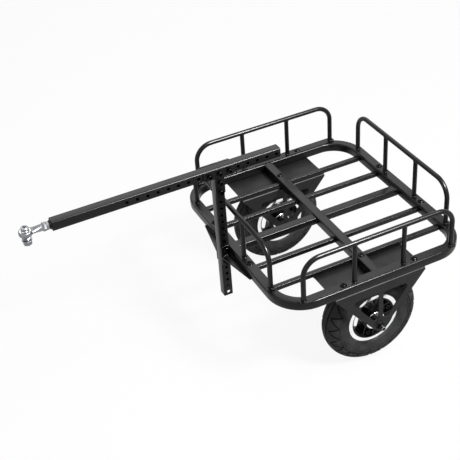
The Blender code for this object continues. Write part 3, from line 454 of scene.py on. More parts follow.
def mesh_of(name, bm):
    bmesh.ops.recalc_face_normals(bm, faces=bm.faces)
    bmesh.ops.scale(bm, vec=(MM, MM, MM), verts=bm.verts)
    mesh = bpy.data.meshes.new(name)
    bm.to_mesh(mesh)
    bm.free()
    return mesh


def linked(name, data):
    """A new object in the scene."""
    thing = bpy.data.objects.new(name, data)
    bpy.context.collection.objects.link(thing)
    return thing


def soften(thing, angle):
    """Shade smoothly, but keep edges sharper than an angle in degrees."""
    thing.data.shade_smooth()
    thing.data.set_sharp_from_angle(angle=math.radians(angle))


def settle(thing):
    """Turn a piece's modifiers into its mesh."""
    graph = bpy.context.evaluated_depsgraph_get()
    graph.update()
    mesh = bpy.data.meshes.new_from_object(thing.evaluated_get(graph))
    thing.modifiers.clear()
    thing.data = mesh


def boolean(thing, bm, operation='DIFFERENCE'):
    """Cut, join or trim a piece with a shape that is then thrown away."""
    tool = linked('tool', mesh_of('tool', bm))
    modifier = thing.modifiers.new('boolean', 'BOOLEAN')
    modifier.operation = operation
    modifier.solver = 'EXACT'
    modifier.object = tool
    settle(thing)
    bpy.data.objects.remove(tool, do_unlink=True)


def round_edges(thing, width=EDGE_ROUNDING):
    """Round every sharp edge, with flat faces kept flat in the shading."""
    modifier = thing.modifiers.new('rounding', 'BEVEL')
    modifier.width = width * MM
    modifier.segments = 2
    modifier.limit_method = 'ANGLE'
    modifier.angle_limit = math.radians(40)
    modifier.harden_normals = True
    thing.data.shade_smooth()
    settle(thing)


def dress(thing, node, body):
    """Let a piece ride on a body and stand for the node that it replaces."""
    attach(thing, body)
    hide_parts(node)


def piece(name, bm, material, node, body='trailer', smooth=35.0):
    """A visible piece of a node, made from a shape."""
    thing = linked(name, mesh_of(name, bm))
    thing.data.materials.append(material)
    soften(thing, smooth)
    dress(thing, node, body)
    return thing


def plate(name, outline, axis, start, end, node, rounding=EDGE_ROUNDING):
    """A cut and edge-rounded plate."""
    round_edges(piece(name, slab(outline, axis, start, end), POWDER, node), rounding)


def span(node):
    """Lowest and highest corner of a node in millimetres."""
    low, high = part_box(node)
    return low / MM, high / MM


def middle(node):
    low, high = span(node)
    return (low + high) / 2


def weld(path, normal, bm, radius, closed=False):
    """A rippled weld bead along a path, tapered at open ends."""
    points = []
    for a, b in zip(path, path[1:] + path[:1] if closed else path[1:]):
        steps = max(1, round((b - a).length / (WELD_RIPPLE / 2)))
        points += [a.lerp(b, i / steps) for i in range(steps)]
    if not closed:
        points.append(path[-1])
    loops, last = [], len(points) - 1
    for i, point in enumerate(points):
        at_end = not closed and i in (0, last)
        ahead = points[(i + 1) % (last + 1)] - points[i - 1]
        if at_end:
            ahead = points[1] - points[0] if i == 0 else points[-1] - points[-2]
        side = normal.cross(ahead).normalized()
        up = ahead.normalized().cross(side)
        size = radius * (WELD_TIP if at_end else 1.0 if i % 2 else WELD_VALLEY)
        loops.append([tuple(point + side * u + up * v) for u, v in circle(size, 8)])
    loft(bm, loops, closed)


def ring_path(centre, radius, axis):
    return [Vector(centre) + Vector(on_axis(u, v, 0.0, axis))
            for u, v in circle(radius, SMALL_TURN)]


UP = Vector((0, 0, 1))
LEFT = Vector((0, 1, 0))
AHEAD = Vector((1, 0, 0))


# Bed

RING_LOW, RING_HIGH = span('bed_ring')
BED = (RING_LOW + RING_HIGH) / 2
TUBE = RING_HIGH.z - RING_LOW.z
TUBE_INSIDE = TUBE - 2 * TUBE_WALL
PLUG = TUBE_INSIDE - 0.6
RING_TOP = RING_HIGH.z
RING_HALF_LENGTH = (RING_HIGH.x - RING_LOW.x - TUBE) / 2
RING_HALF_WIDTH = (RING_HIGH.y - RING_LOW.y - TUBE) / 2
GRID_LOW, GRID_HIGH = span('slat_grid')
FIT = RING_HALF_LENGTH - TUBE / 2 - (GRID_HIGH.x - GRID_LOW.x) / 2


def bed_ring():
    corners = rectangle(2 * RING_HALF_LENGTH, 2 * RING_HALF_WIDTH, (BED.x, BED.y))
    path = [Vector((x, y, BED.z)) for x, y in rounded(corners, RING_CORNER_RADIUS, BEND_STEPS)]
    section = tube_outline(TUBE, BENT_TUBE_CORNER)
    piece('bent_bed_ring', swept(path, section, UP, closed=True), POWDER, 'bed_ring')


def ring_inner_x(y):
    """Distance from the middle to the ring's inner face, at a distance y to the side."""
    inner_corner = RING_CORNER_RADIUS - TUBE / 2
    into_corner = abs(y) - (RING_HALF_WIDTH - TUBE / 2 - inner_corner)
    face = RING_HALF_LENGTH - TUBE / 2
    if into_corner <= 0:
        return face
    return face - inner_corner + math.sqrt(max(inner_corner ** 2 - into_corner ** 2, 0.0))


def slat_grid():
    """Cross beam, centre beams and slats, welded to each other and to the ring."""
    clear = RING_HALF_WIDTH - TUBE - 2 * SLAT
    across = RING_HALF_WIDTH - TUBE / 2 - FIT
    beam = moved(tube_outline(TUBE), (BED.x, RING_TOP - TUBE / 2))
    piece('cross_beam', slab(beam, 'Y', -across, across), POWDER, 'slat_grid')
    rows = [('centre_beam', 0.0, TUBE, CENTRE_BEAM_HEIGHT, CENTRE_BEAM_CORNER)]
    for number in (1, 2):
        place = TUBE / 2 + clear / 3 * number + SLAT * (number - 0.5)
        rows += [(f'slat_left_{number}', place, SLAT, SLAT, SLAT_CORNER),
                 (f'slat_right_{number}', -place, SLAT, SLAT, SLAT_CORNER)]
    welds = bmesh.new()
    for name, y, width, height, corner in rows:
        far = ring_inner_x(abs(y) + width / 2) - FIT
        z = RING_TOP - TUBE + height / 2
        section = moved(rounded(rectangle(width, height), corner, CORNER_STEPS), (y, z))
        foot, top = z - height / 3, z + height / 2 - WELD_SPREAD
        corners = ((-1, foot), (-1, top), (1, top), (1, foot))
        for end, label in ((1, 'front'), (-1, 'rear')):
            bar = slab(section, 'X', BED.x + end * (TUBE / 2 - 1), BED.x + end * far)
            piece(f'{name}_{label}', bar, POWDER, 'slat_grid')
            for x in (BED.x + end * (TUBE / 2 + WELD_SPREAD), BED.x + end * (far - WELD_RISE)):
                weld([Vector((x, y + side * width / 2, up)) for side, up in corners],
                     AHEAD, welds, SLAT_WELD)
    # The cross beam's bead starts low on one side of it and ends low on the other
    half, low, top = TUBE / 2, RING_TOP - TUBE * 0.8, RING_TOP - 2 * WELD_RISE
    over_beam = ((-half, low), (-half, top - TUBE_CORNER), (TUBE_CORNER - half, top),
                 (half - TUBE_CORNER, top), (half, top - TUBE_CORNER), (half, low))
    for side in (-1, 1):
        weld([Vector((BED.x + u, side * (across - WELD_SPREAD), z)) for u, z in over_beam],
             LEFT, welds, SLAT_WELD)
    piece('slat_welds', welds, POWDER, 'slat_grid', smooth=60.0)


def hoop(node, along, across):
    """A bent tube with two uprights welded to a flat strip."""
    low, high = span(node)
    centre = (low + high) / 2
    strip_top = low.z + SHEET
    bar = high.z - HOOP_RADIUS
    half = (high - low).dot(along) / 2
    reach = half - HOOP_FOOT_MARGIN
    uprights = (-UPRIGHT_FROM_MIDDLE, UPRIGHT_FROM_MIDDLE)

    def at(distance, z):
        return Vector((centre.x, centre.y, 0)) + along * distance + UP * z

    corners = [(-reach, strip_top), (-reach, bar), (reach, bar), (reach, strip_top)]
    flat = rounded(corners, HOOP_BEND_RADIUS, BEND_STEPS, closed=False)
    bm = swept([at(distance, z) for distance, z in flat], circle(HOOP_RADIUS, PIPE_TURN), across)
    for distance in uprights:
        section = moved(circle(UPRIGHT_RADIUS, PIPE_TURN), at(distance, 0).xy)
        slab(section, 'Z', strip_top, bar, bm)
    piece(node + '_tube', bm, POWDER, node, smooth=60.0)

    size = (2 * half, STRIP_WIDTH) if along.x else (STRIP_WIDTH, 2 * half)
    outline = rounded(rectangle(*size, (centre.x, centre.y)), STRIP_CORNER, 8)
    plate(node + '_strip', outline, 'Z', low.z, strip_top, node, STRIP_ROUNDING)

    welds = bmesh.new()
    feet = [(place, HOOP_RADIUS) for place in (-reach, reach)]
    for distance, radius in feet + [(place, UPRIGHT_RADIUS) for place in uprights]:
        foot = at(distance, strip_top + WELD_RISE)
        weld(ring_path(foot, radius + WELD_SPREAD, 'Z'), UP, welds, FOOT_WELD, closed=True)
    for distance in uprights:
        saddle = []
        for u, v in circle(UPRIGHT_RADIUS + WELD_RISE, SMALL_TURN):
            drop = math.sqrt(max(HOOP_RADIUS ** 2 - min(abs(v), HOOP_RADIUS) ** 2, 0.5))
            saddle.append(at(distance, bar - drop - WELD_RISE) + along * u + across * v)
        weld(saddle, UP, welds, SADDLE_WELD, closed=True)
    piece(node + '_welds', welds, POWDER, node, smooth=60.0)


# Screws and nuts

def stock_mesh(name, bm, trims, smooth):
    """A mesh to set in many places, cut, trimmed or joined with other shapes."""
    thing = linked(name, mesh_of(name, bm))
    for shape, operation in trims:
        boolean(thing, shape, operation)
    thing.data.materials.append(OXIDE)
    soften(thing, smooth)
    mesh = thing.data
    bpy.data.objects.remove(thing, do_unlink=True)
    return mesh


def button_head():
    """A flanged button head with a hex socket, sitting on zero."""
    angles = [math.radians(78) * i / 8 for i in range(9)]
    dome = [(7.0 * math.cos(a), 1.2 + 3.2 * math.sin(a)) for a in angles]
    profile = [(8.0, 0.0), (8.7, 0.25), (8.9, 0.7), (8.5, 1.15), (7.4, 1.35)] + dome
    socket = slab(hexagon(5.0), 'Z', 2.2, 6.0)
    return stock_mesh('button_head', turned(profile, SMALL_TURN, 'Z'),
                      [(socket, 'DIFFERENCE')], 40)


def cap_head():
    """A cylinder head with a chamfered rim and a hex socket, sitting on zero."""
    profile = [(6.2, 0.0), (6.5, 0.3), (6.5, CAP_HEIGHT - 0.7), (5.9, CAP_HEIGHT)]
    socket = slab(hexagon(6.0), 'Z', CAP_HEIGHT / 2, CAP_HEIGHT + 1)
    return stock_mesh('cap_head', turned(profile, SMALL_TURN, 'Z'),
                      [(socket, 'DIFFERENCE')], 40)


def nut_mesh(name, flats, height, bolt):
    """A hex nut with a collar, standing on zero, with the end of its screw in it."""
    corner = hex_corner(flats) + 0.2
    cone = [(flats / 2 - 0.1, 0.0), (corner, 0.7), (corner, height * 0.68),
            (flats / 2, height * 0.8), (bolt + 1.8, height * 0.84), (bolt + 1.4, height)]
    thread = []
    place = height - 1.0
    while place < height + 1.6:
        thread += [(bolt - 0.4, place), (bolt, place + 0.35)]
        place += 0.7
    thread.append((bolt - 0.6, height + SCREW_PAST_NUT))
    return stock_mesh(name, slab(hexagon(flats), 'Z', 0.0, height),
                      [(turned(cone, SMALL_TURN, 'Z'), 'INTERSECT'),
                       (turned(thread, SMALL_TURN, 'Z'), 'UNION')], 30)


def placed(name, mesh, place, facing, node, spin=0.0, body='trailer'):
    """A copy of a mesh drawn on +Z, set at a place and facing an axis."""
    thing = linked(name, mesh)
    turn = UP.rotation_difference(facing).to_matrix().to_4x4()
    thing.matrix_world = Matrix.Translation(place * MM) @ turn @ Matrix.Rotation(spin, 4, 'Z')
    dress(thing, node, body)


def screws(nodes, head, head_height, nut, facing, spin):
    """Screws that face one way through the sheets, each with a nut on its other end."""
    for number, node in enumerate(nodes):
        low, high = span(node)
        centre = (low + high) / 2
        half = (high - low).dot(facing) / 2
        placed(node + '_head', head, centre + facing * (half - head_height), facing, node,
               number * spin)
        placed(node + '_nut', nut, centre - facing * (half - NUT_HEIGHT - SCREW_PAST_NUT),
               -facing, node, number * spin)


# Wheel brackets

def wheel_bracket(label, side):
    """Folded sheet over the wheel, with two windows in each plate and a boss for the axle."""
    node = 'wheel_bracket_' + label
    low, high = span(node)
    axle = middle(label + '_axle')
    half = (high.x - low.x) / 2
    top, foot = high.z, low.z - 1
    far = max(abs(low.y), abs(high.y)) - AXLE_BOSS_LENGTH
    near = min(abs(low.y), abs(high.y)) + AXLE_BOSS_LENGTH
    corners = [(far, foot), (far, top), (near, top), (near, foot), (near + SHEET, foot),
               (near + SHEET, top - SHEET), (far - SHEET, top - SHEET), (far - SHEET, foot)]
    bend = BRACKET_BEND + SHEET
    radii = [0, bend, bend, 0, 0, BRACKET_BEND, BRACKET_BEND, 0]
    folded = [(side * y, z) for y, z in rounded(corners, radii, 5)]
    thing = piece(node + '_sheet', slab(folded, 'X', BED.x - half - 1, BED.x + half + 1), MATT,
                  node)

    edge = top - SHEET - BRACKET_EDGE
    rise = edge - axle.z
    slope = math.atan2(rise, half) + math.asin(BRACKET_NOSE / math.hypot(half, rise))
    corners = [(-half, top + 1), (-half, edge), (0.0, edge - half * math.tan(slope)),
               (half, edge), (half, top + 1)]
    face = moved(rounded(corners, [0, 0, BRACKET_NOSE, 0, 0], 12), (BED.x, 0.0))
    through = (side * (near - 1), side * (far + 1))
    boolean(thing, slab(face, 'Y', *through), 'INTERSECT')
    windows = bmesh.new()
    for end in (-1, 1):
        strut, lintel = end * WINDOW_STRUT / 2, top - WINDOW_BAND
        corners = [(strut, lintel), (end * (half - WINDOW_END), lintel),
                   (strut, axle.z + WINDOW_FOOT)]
        outline = rounded(corners, [WINDOW_STRUT_CORNER, WINDOW_CORNER, WINDOW_CORNER], 8)
        slab(moved(outline, (BED.x, 0.0)), 'Y', *through, windows)
    boolean(thing, windows)
    round_edges(thing)

    bosses, welds = bmesh.new(), bmesh.new()
    for wall, way in ((far, 1), (near, -1)):
        profile = [(radius, side * (wall + way * out)) for radius, out in
                   ((AXLE_BORE, -1.0), (AXLE_BOSS_RADIUS, -1.0),
                    (AXLE_BOSS_RADIUS, AXLE_BOSS_LENGTH - 0.8),
                    (AXLE_BOSS_RADIUS - 0.8, AXLE_BOSS_LENGTH), (AXLE_BORE, AXLE_BOSS_LENGTH))]
        turned(profile, ROUND_TURN, 'Y', (axle.x, 0.0, axle.z), True, bosses)
        centre = (axle.x, side * (wall + way * WELD_RISE), axle.z)
        around = ring_path(centre, AXLE_BOSS_RADIUS + WELD_SPREAD, 'Y')
        weld(around, LEFT, welds, FOOT_WELD, closed=True)
    # The bosses take the darker glossy coat rather than the sheet's matt one: painted shade on the
    # bosses
    piece(node + '_bosses', bosses, POWDER, node)
    piece(node + '_welds', welds, MATT, node, smooth=60.0)


def axle_pin(label, side):
    """Turned axle with a socket in its outer end, its faces painted dark as shade, and a sleeve on
    each side of the hub.
    """
    node = label + '_axle'
    low, high = span(node)
    axle = (low + high) / 2
    axle.y = 0.0
    outer, inner = (high.y, low.y) if side > 0 else (low.y, high.y)
    profile = rod_profile(AXLE_HEAD_RADIUS, inner, outer, 0.7)
    thing = piece(node + '_pin', turned(profile, SMALL_TURN, 'Y', axle), AXLE_STEEL, node)
    socket = moved(hexagon(AXLE_SOCKET_FLATS), axle.xz)
    boolean(thing, slab(socket, 'Y', outer - side * AXLE_SOCKET_DEPTH, outer + side))
    soften(thing, 35)
    # The socket's faces take the black oxide: painted shade in the hollow of the socket
    thing.data.materials.append(OXIDE)
    for face in thing.data.polygons:
        place = face.center / MM
        depth = abs(outer) - abs(place.y)
        painted_socket_shade = AXLE_SOCKET_DEPTH / 4 < depth < AXLE_SOCKET_DEPTH * 2
        face.material_index = int(painted_socket_shade and (place - axle).xz.length < AXLE_SOCKET_FLATS * 0.6)
    for name in ('inner', 'outer'):
        spacer = f'{label}_{name}_spacer'
        low, high = span(spacer)
        profile = rod_profile((high.x - low.x) / 2, low.y, high.y, 0.5, AXLE_BORE)
        piece(spacer + '_sleeve', turned(profile, SMALL_TURN, 'Y', axle, closed=True),
              BLACK_ZINC, spacer)


# Wheels, with distances to the side counted outwards from the wheel's middle

def tyre_profile():
    """Outside of the carcass from crown to bead, as radius and side."""
    low, high = span('left_tyre')
    crown = (high.z - low.z) / 2 - TREAD_DEPTH
    half = (high.y - low.y) / 2
    deep = crown - LIP_RADIUS
    bead = RIM_WIDTH / 2 - LIP_THICKNESS - 0.5
    return [(crown, 0.0), (crown - 0.02 * deep, 0.3 * half), (crown - 0.10 * deep, 0.62 * half),
            (crown - 0.24 * deep, 0.84 * half), (crown - 0.46 * deep, 0.965 * half),
            (LIP_RADIUS + 0.34 * deep, 0.985 * half), (LIP_RADIUS + 0.16 * deep, 0.92 * half),
            (LIP_RADIUS + 0.05 * deep, 0.84 * half), (LIP_RADIUS + 0.3, bead + 1.4)]


def smooth_curve(controls, steps):
    """Points of a Catmull-Rom curve through its controls."""
    points = [Vector(c) for c in controls]
    points = [2 * points[0] - points[1]] + points + [2 * points[-1] - points[-2]]
    curve = []
    for i in range(1, len(points) - 2):
        p0, p1, p2, p3 = points[i - 1:i + 3]
        for step in range(steps):
            t = step / steps
            curve.append(0.5 * (2 * p1 + (p2 - p0) * t + (2 * p0 - 5 * p1 + 4 * p2 - p3) * t ** 2
                                + (3 * p1 - p0 - 3 * p2 + p3) * t ** 3))
    return curve + [points[-2]]


class TyreSkin:
    """The carcass surface, addressed by angle and by distance over it from the crown."""

    def __init__(self, centre):
        self.centre = Vector(centre)
        self.points = smooth_curve(tyre_profile(), 6)
        self.crown = self.points[0].x
        self.lengths = [0.0]
        for a, b in zip(self.points, self.points[1:]):
            self.lengths.append(self.lengths[-1] + (b - a).length)

    def section(self, over, height=0.0):
        """Radius and side of a point over to one side and a height above the skin."""
        distance = min(abs(over), self.lengths[-1] - 1e-6)
        i = max(k for k, length in enumerate(self.lengths) if length <= distance)
        i = min(i, len(self.points) - 2)
        run = (distance - self.lengths[i]) / (self.lengths[i + 1] - self.lengths[i])
        flat = self.points[i].lerp(self.points[i + 1], run)
        way = (self.points[i + 1] - self.points[max(i - 1, 0)]).normalized()
        flat = flat + Vector((way.y, -way.x)) * height
        return flat.x, math.copysign(flat.y, over) if over else flat.y

    def at(self, angle, over, height=0.0):
        """World point at an angle round the wheel."""
        radius, side = self.section(over, height)
        return self.centre + Vector((radius * math.cos(angle), side, radius * math.sin(angle)))


def tread_block(bm, skin, rows):
    """Raise a block from the skin; each row is a distance over it and an angle at each end."""
    grids = []
    for height in (TREAD_DEPTH, -TREAD_ROOT):
        grids.append([[bm.verts.new(skin.at(start + (end - start) * i / 4, over, height))
                       for i in range(5)] for over, start, end in rows])
        for low, high in zip(grids[-1], grids[-1][1:]):
            for i in range(4):
                bm.faces.new((low[i], low[i + 1], high[i + 1], high[i]))
    top, foot = [grid[0] + [row[-1] for row in grid[1:]] + grid[-1][-2::-1]
                 + [row[0] for row in grid[-2:0:-1]] for grid in grids]
    # The block's sides take the second, darker rubber: painted shade in the grooves
    for i in range(len(top)):
        j = (i + 1) % len(top)
        bm.faces.new((top[i], top[j], foot[j], foot[i])).material_index = 1


def shoulder_blocks(bm, skin, hand, shift):
    """A row of teeth and islands divided by a zigzag groove, on one shoulder."""
    pitch = -2 * math.pi / TREAD_PITCHES
    slit = GROOVE / 2 / skin.crown
    rows = 8
    for number in range(TREAD_PITCHES):
        notch = FIRST_NOTCH_ANGLE + (number + shift) * pitch
        tooth, island = [], []
        for i in range(rows + 1):
            run = i / rows
            over = SHOULDER_START + (SHOULDER_END - SHOULDER_START) * run
            falling = notch + pitch * NOTCH_LEAN * run
            rising = notch + pitch * (1 - (1 - NOTCH_LEAN) * run)
            for block, start, end, place in ((tooth, falling, rising, over - 0.5),
                                             (island, rising - pitch, falling, over + 0.8)):
                room = max(start - end - 2 * slit, NARROWEST_BLOCK_ANGLE)
                centre = (start + end) / 2
                block.append((hand * place, centre + room / 2, centre - room / 2))
        tread_block(bm, skin, tooth)
        tread_block(bm, skin, island)


def tread_ring(bm, skin, start, end, height):
    """A rib that runs all the way round, between two distances over the skin."""
    steps = max(2, round(abs(end - start) / 2.5))
    line = [start + (end - start) * i / steps for i in range(steps + 1)]
    profile = [skin.section(over, height) for over in line]
    profile += [skin.section(over, -TREAD_ROOT) for over in reversed(line)]
    turned(profile, TYRE_TURN, 'Y', skin.centre, closed=True, bm=bm)


def tyre(label):
    """Carcass with its sidewalls, and the tread blocks and ribs that stand on it."""
    node = label + '_tyre'
    skin = TyreSkin(middle(node))
    outer = [tuple(point) for point in skin.points]
    bead = outer[-1][1]
    inside = [(LIP_RADIUS - 1.0, bead), (BEAD_RADIUS + 0.5, bead - 1.5),
              (BEAD_RADIUS + 0.5, bead - 5.0), (LIP_RADIUS + 8, bead - 4.0),
              (skin.crown - 20, 24.0), (skin.crown - 5.0, 10.0)]
    half = outer + inside
    profile = half + [(radius, -side) for radius, side in reversed(half) if side > 0.001]
    carcass = piece(node + '_carcass', turned(profile, TYRE_TURN, 'Y', skin.centre, closed=True),
                    TREAD, node, label + '_wheel', smooth=60.0)
    # The carcass faces across the tread, between the blocks, take the darker rubber: painted shade
    # in the grooves
    carcass.data.materials.append(PAINTED_GROOVE_SHADE)
    tread_floor = skin.section(TREAD_END)[0]
    for face in carcass.data.polygons:
        radius = (face.center / MM - skin.centre).xz.length
        face.material_index = int(radius > tread_floor)

    tread = bmesh.new()
    end = skin.lengths[-1]
    ribs = ((CENTRE_GROOVE + GROOVE / 2, SHOULDER_START - 0.6, TREAD_DEPTH),
            (SHOULDER_RIB, SHOULDER_RIB + 4.2, SHOULDER_RIB_HEIGHT),
            (end - 5.5, end - 4.0, 0.5), (end - 10.0, end - 9.0, 0.3))
    for hand, shift in ((1, 0.0), (-1, 0.5)):
        shoulder_blocks(tread, skin, hand, shift)
        for near, far, height in ribs:
            tread_ring(tread, skin, hand * near, hand * far, height)
    centre_half = CENTRE_GROOVE - GROOVE / 2
    tread_ring(tread, skin, -centre_half, centre_half, TREAD_DEPTH)
    blocks = piece(node + '_tread', tread, TREAD, node, label + '_wheel', smooth=40.0)
    # Its second material is the darker rubber of the block sides: painted shade in the grooves
    blocks.data.materials.append(PAINTED_GROOVE_SHADE)


def spoke_angles():
    return [FIRST_SPOKE_ANGLE + 2 * math.pi * i / SPOKES for i in range(SPOKES)]


def at_angle(outline, angle, centre):
    """An outline drawn on the +X side of the wheel, turned to an angle about its axle."""
    along, across = math.cos(angle), math.sin(angle)
    return [(centre.x + u * along - v * across, centre.z + u * across + v * along)
            for u, v in outline]


def spoke_opening():
    """Outline of the opening between two parallel-sided spokes."""
    outline = []
    for radius, way in ((HUB_RADIUS + SPOKE_RIB, 1), (LIP_BORE - SPOKE_RIB, -1)):
        reach = math.pi / SPOKES - math.asin(SPOKE_WIDTH / 2 / radius)
        angles = [way * reach * (i / 5 - 1) for i in range(11)]
        outline += [(radius * math.cos(a), radius * math.sin(a)) for a in angles]
    corners = [SPOKE_OPENING_CORNER] + [0] * 9 + [SPOKE_OPENING_CORNER]
    return rounded(outline, corners * 2, 5)


def spoke_pocket():
    """Outline of the hollow between a spoke's two ribs, which holds its screw."""
    start, end = HUB_RADIUS + 1, LIP_BORE - SPOKE_RIB
    half = SPOKE_WIDTH / 2 - SPOKE_RIB
    corners = [(start, -half), (end, -half), (end, half), (start, half)]
    return rounded(corners, SPOKE_OPENING_CORNER, 5)


def rim(label, name, out, fixing):
    """Half of the split rim: a turned lip, a barrel, a spoked disc and its share of the hub."""
    node = f'{label}_rim_{name}_half'
    body = label + '_wheel'
    wheel = middle(label + '_tyre')
    hub_end = max(abs(corner.y - wheel.y) for corner in span(node))
    lip, web = RIM_WIDTH / 2, WEB_THICKNESS / 2
    crest = web + SPOKE_RIB_HEIGHT if name == 'outer' else web

    def lathe(profile, material, tag):
        profile = [(radius, out * side) for radius, side in profile]
        bm = turned(profile, FINE_TURN, 'Y', wheel, closed=True)
        return piece(f'{node}_{tag}', bm, material, node, body)

    lathe([(POLISHED_BORE, lip - 2.0), (POLISHED_BORE + 0.2, lip - 0.3),
           (POLISHED_BORE + 0.6, lip), (LIP_RADIUS - 1.2, lip), (LIP_RADIUS - 0.3, lip - 0.3),
           (LIP_RADIUS, lip - 1.0), (LIP_RADIUS - 0.4, lip - 1.9),
           (BEAD_RADIUS + 1.5, lip - LIP_THICKNESS), (BEAD_RADIUS, lip - LIP_THICKNESS - 1.2),
           (BEAD_RADIUS - 0.5, lip - 4.0), (POLISHED_BORE + 0.2, lip - 4.0)], LIP, 'lip')
    lathe([(LIP_BORE, crest - 1.0), (LIP_BORE, lip - 1.0), (LIP_BORE + 0.5, lip - 0.4),
           (POLISHED_BORE + 0.1, lip - 0.4), (POLISHED_BORE + 0.3, lip - 4.2),
           (BEAD_RADIUS - 1.0, lip - 6.0), (BEAD_RADIUS - 1.0, HALVES_GAP),
           (LIP_BORE, HALVES_GAP)], ENAMEL, 'barrel')
    disc = lathe([(HUB_RADIUS - 4, HALVES_GAP), (HUB_RADIUS - 4, crest),
                  (LIP_BORE + 0.5, crest), (LIP_BORE + 0.5, HALVES_GAP)], ENAMEL, 'disc')
    openings, pockets = bmesh.new(), bmesh.new()
    web_face, through = wheel.y + out * web, wheel.y + out * (crest + 3)
    for angle in spoke_angles():
        opening = at_angle(spoke_opening(), angle + math.pi / SPOKES, wheel)
        slab(opening, 'Y', wheel.y, through, openings)
        slab(at_angle(spoke_pocket(), angle, wheel), 'Y', web_face, through, pockets)
    if crest > web:
        boolean(disc, pockets)
    boolean(disc, openings)
    round_edges(disc, 0.8)

    seat = HUB_FACE_RADIUS - 0.1
    lathe([(HUB_BORE, HALVES_GAP), (HUB_RADIUS - 2, HALVES_GAP), (HUB_RADIUS - 1, web),
           (HUB_RADIUS + 1.5, web), (HUB_RADIUS, web + 1.5), (HUB_RADIUS, hub_end - 1.8),
           (HUB_RADIUS - 0.5, hub_end - 1.3), (seat, hub_end - 1.3), (seat, hub_end - 2.6),
           (HUB_FACE_BORE, hub_end - 2.6), (HUB_BORE, hub_end - 3.4)], ENAMEL, 'hub')
    lathe([(HUB_FACE_BORE, hub_end - 2.8), (HUB_FACE_RADIUS, hub_end - 2.8),
           (HUB_FACE_RADIUS, hub_end - 0.8), (HUB_FACE_RADIUS - 0.7, hub_end),
           (HUB_FACE_BORE + 0.6, hub_end), (HUB_FACE_BORE, hub_end - 0.6)], LIP, 'hub_face')

    for number, angle in enumerate(spoke_angles(), 1):
        place = wheel + Vector((RIM_SCREW_CIRCLE * math.cos(angle), out * web,
                                RIM_SCREW_CIRCLE * math.sin(angle)))
        placed(f'{node}_screw_{number}', fixing, place, LEFT * out, node, angle, body)


def bearing(label, name):
    """Sealed ball bearing: outer race, black seal and inner race."""
    node = f'{label}_{name}_bearing'
    low, high = span(node)
    half, outer = (high.y - low.y) / 2, (high.x - low.x) / 2
    for tag, bore, radius, depth, material in (
            ('outer_race', outer - 0.9, outer, half, STEEL),
            ('seal', AXLE_BORE + 2.0, outer - 0.8, half - 0.4, NYLON),
            ('inner_race', AXLE_BORE, AXLE_BORE + 2.1, half, STEEL)):
        profile = [(bore, -depth), (radius, -depth), (radius, depth), (bore, depth)]
        ring = turned(profile, ROUND_TURN, 'Y', (low + high) / 2, closed=True)
        piece(f'{node}_{tag}', ring, material, node, label + '_wheel')


def valve(label):
    """Valve stem with its cap."""
    node = label + '_valve_stem'
    wheel = middle(label + '_tyre')
    centre = middle(node)
    along = Vector((centre.x - wheel.x, 0, centre.z - wheel.z)).normalized()
    tip = VALVE_TIP_RADIUS
    profile = [(2.2, tip), (2.9, tip + 0.6), (3.0, tip + 7.5), (2.2, tip + 7.8),
               (2.2, tip + 9.0), (3.4, tip + 10.0), (3.9, LIP_BORE - 1.0),
               (4.0, BEAD_RADIUS + 2.5)]
    turn = UP.rotation_difference(along).to_matrix().to_4x4()
    base = Matrix.Translation((wheel.x, centre.y, wheel.z))
    bm = turned(profile, PIPE_TURN, 'Z')
    bmesh.ops.transform(bm, matrix=base @ turn, verts=bm.verts)
    piece(node + '_rubber', bm, NYLON, node, label + '_wheel')


def wheel(label, side, head, nut):
    tyre(label)
    rim(label, 'outer', side, head)
    rim(label, 'inner', -side, nut)
    bearing(label, 'outer')
    bearing(label, 'inner')
    valve(label)


# Post, drawbar and the plates that join them

DRAWBAR = middle('drawbar')
POST = middle('post')


def drilled_tube(name, node, axis, across, places):
    """Square tube with holes through it from side to side."""
    low, high = span(node)
    outer = moved(tube_outline(TUBE), across)
    inner = moved(tube_outline(TUBE_INSIDE, TUBE_INNER_CORNER), across)
    start, end = (low.x, high.x) if axis == 'X' else (low.z, high.z)
    bm, drills = bmesh.new(), bmesh.new()
    walls = ((outer, start), (outer, end), (inner, end), (inner, start))
    loft(bm, [[on_axis(u, v, height, axis) for u, v in outline] for outline, height in walls],
         closed=True)
    for place in places:
        slab(moved(circle(HOLE_RADIUS, SMALL_TURN), place), 'Y', -TUBE, TUBE, drills)
    thing = piece(name, bm, POWDER, node)
    boolean(thing, drills)
    round_edges(thing, HOLE_ROUNDING)


def post():
    """The upright, with bolts at its ends and spare holes between and below them."""
    first = middle('post_bracket_bolt_1').z
    low, high = span('post')[0].z + POST_END_MARGIN, span('t_plate_left')[0].z - HOLE_RADIUS
    heights = [middle(f't_plate_bolt_{i}').z for i in (4, 5)]
    heights += [z for z in (first + step * POST_PITCH for step in range(-10, 10))
                if low < z < high]
    drilled_tube('post_tube', 'post', 'Z', (POST.x, 0.0), [(POST.x, z) for z in heights])


def drawbar():
    """The bar to the hitch, with a row of holes and a cap on its rear end."""
    middle_bolt = middle('t_plate_bolt_2').x
    behind = int((middle_bolt - span('drawbar')[0].x) / DRAWBAR_PITCH)
    places = [(middle_bolt + step * DRAWBAR_PITCH, DRAWBAR.z)
              for step in range(-behind, HOLES_AHEAD)]
    drilled_tube('drawbar_tube', 'drawbar', 'X', (0.0, DRAWBAR.z), places)

    low, high = span('drawbar_end_cap')
    seat = low.x + CAP_THICKNESS
    loops = []
    for size, corner, x in ((TUBE - 2.4, 2.4, low.x), (TUBE - 0.8, 3.0, low.x + 0.35),
                            (TUBE, 3.0, low.x + 1.0), (TUBE, 3.0, seat),
                            (PLUG, TUBE_INNER_CORNER, seat), (PLUG, TUBE_INNER_CORNER, high.x)):
        outline = moved(tube_outline(size, corner), (0.0, DRAWBAR.z))
        loops.append([on_axis(u, v, x, 'X') for u, v in outline])
    bm = bmesh.new()
    loft(bm, loops)
    piece('drawbar_cap', bm, NYLON, 'drawbar_end_cap')


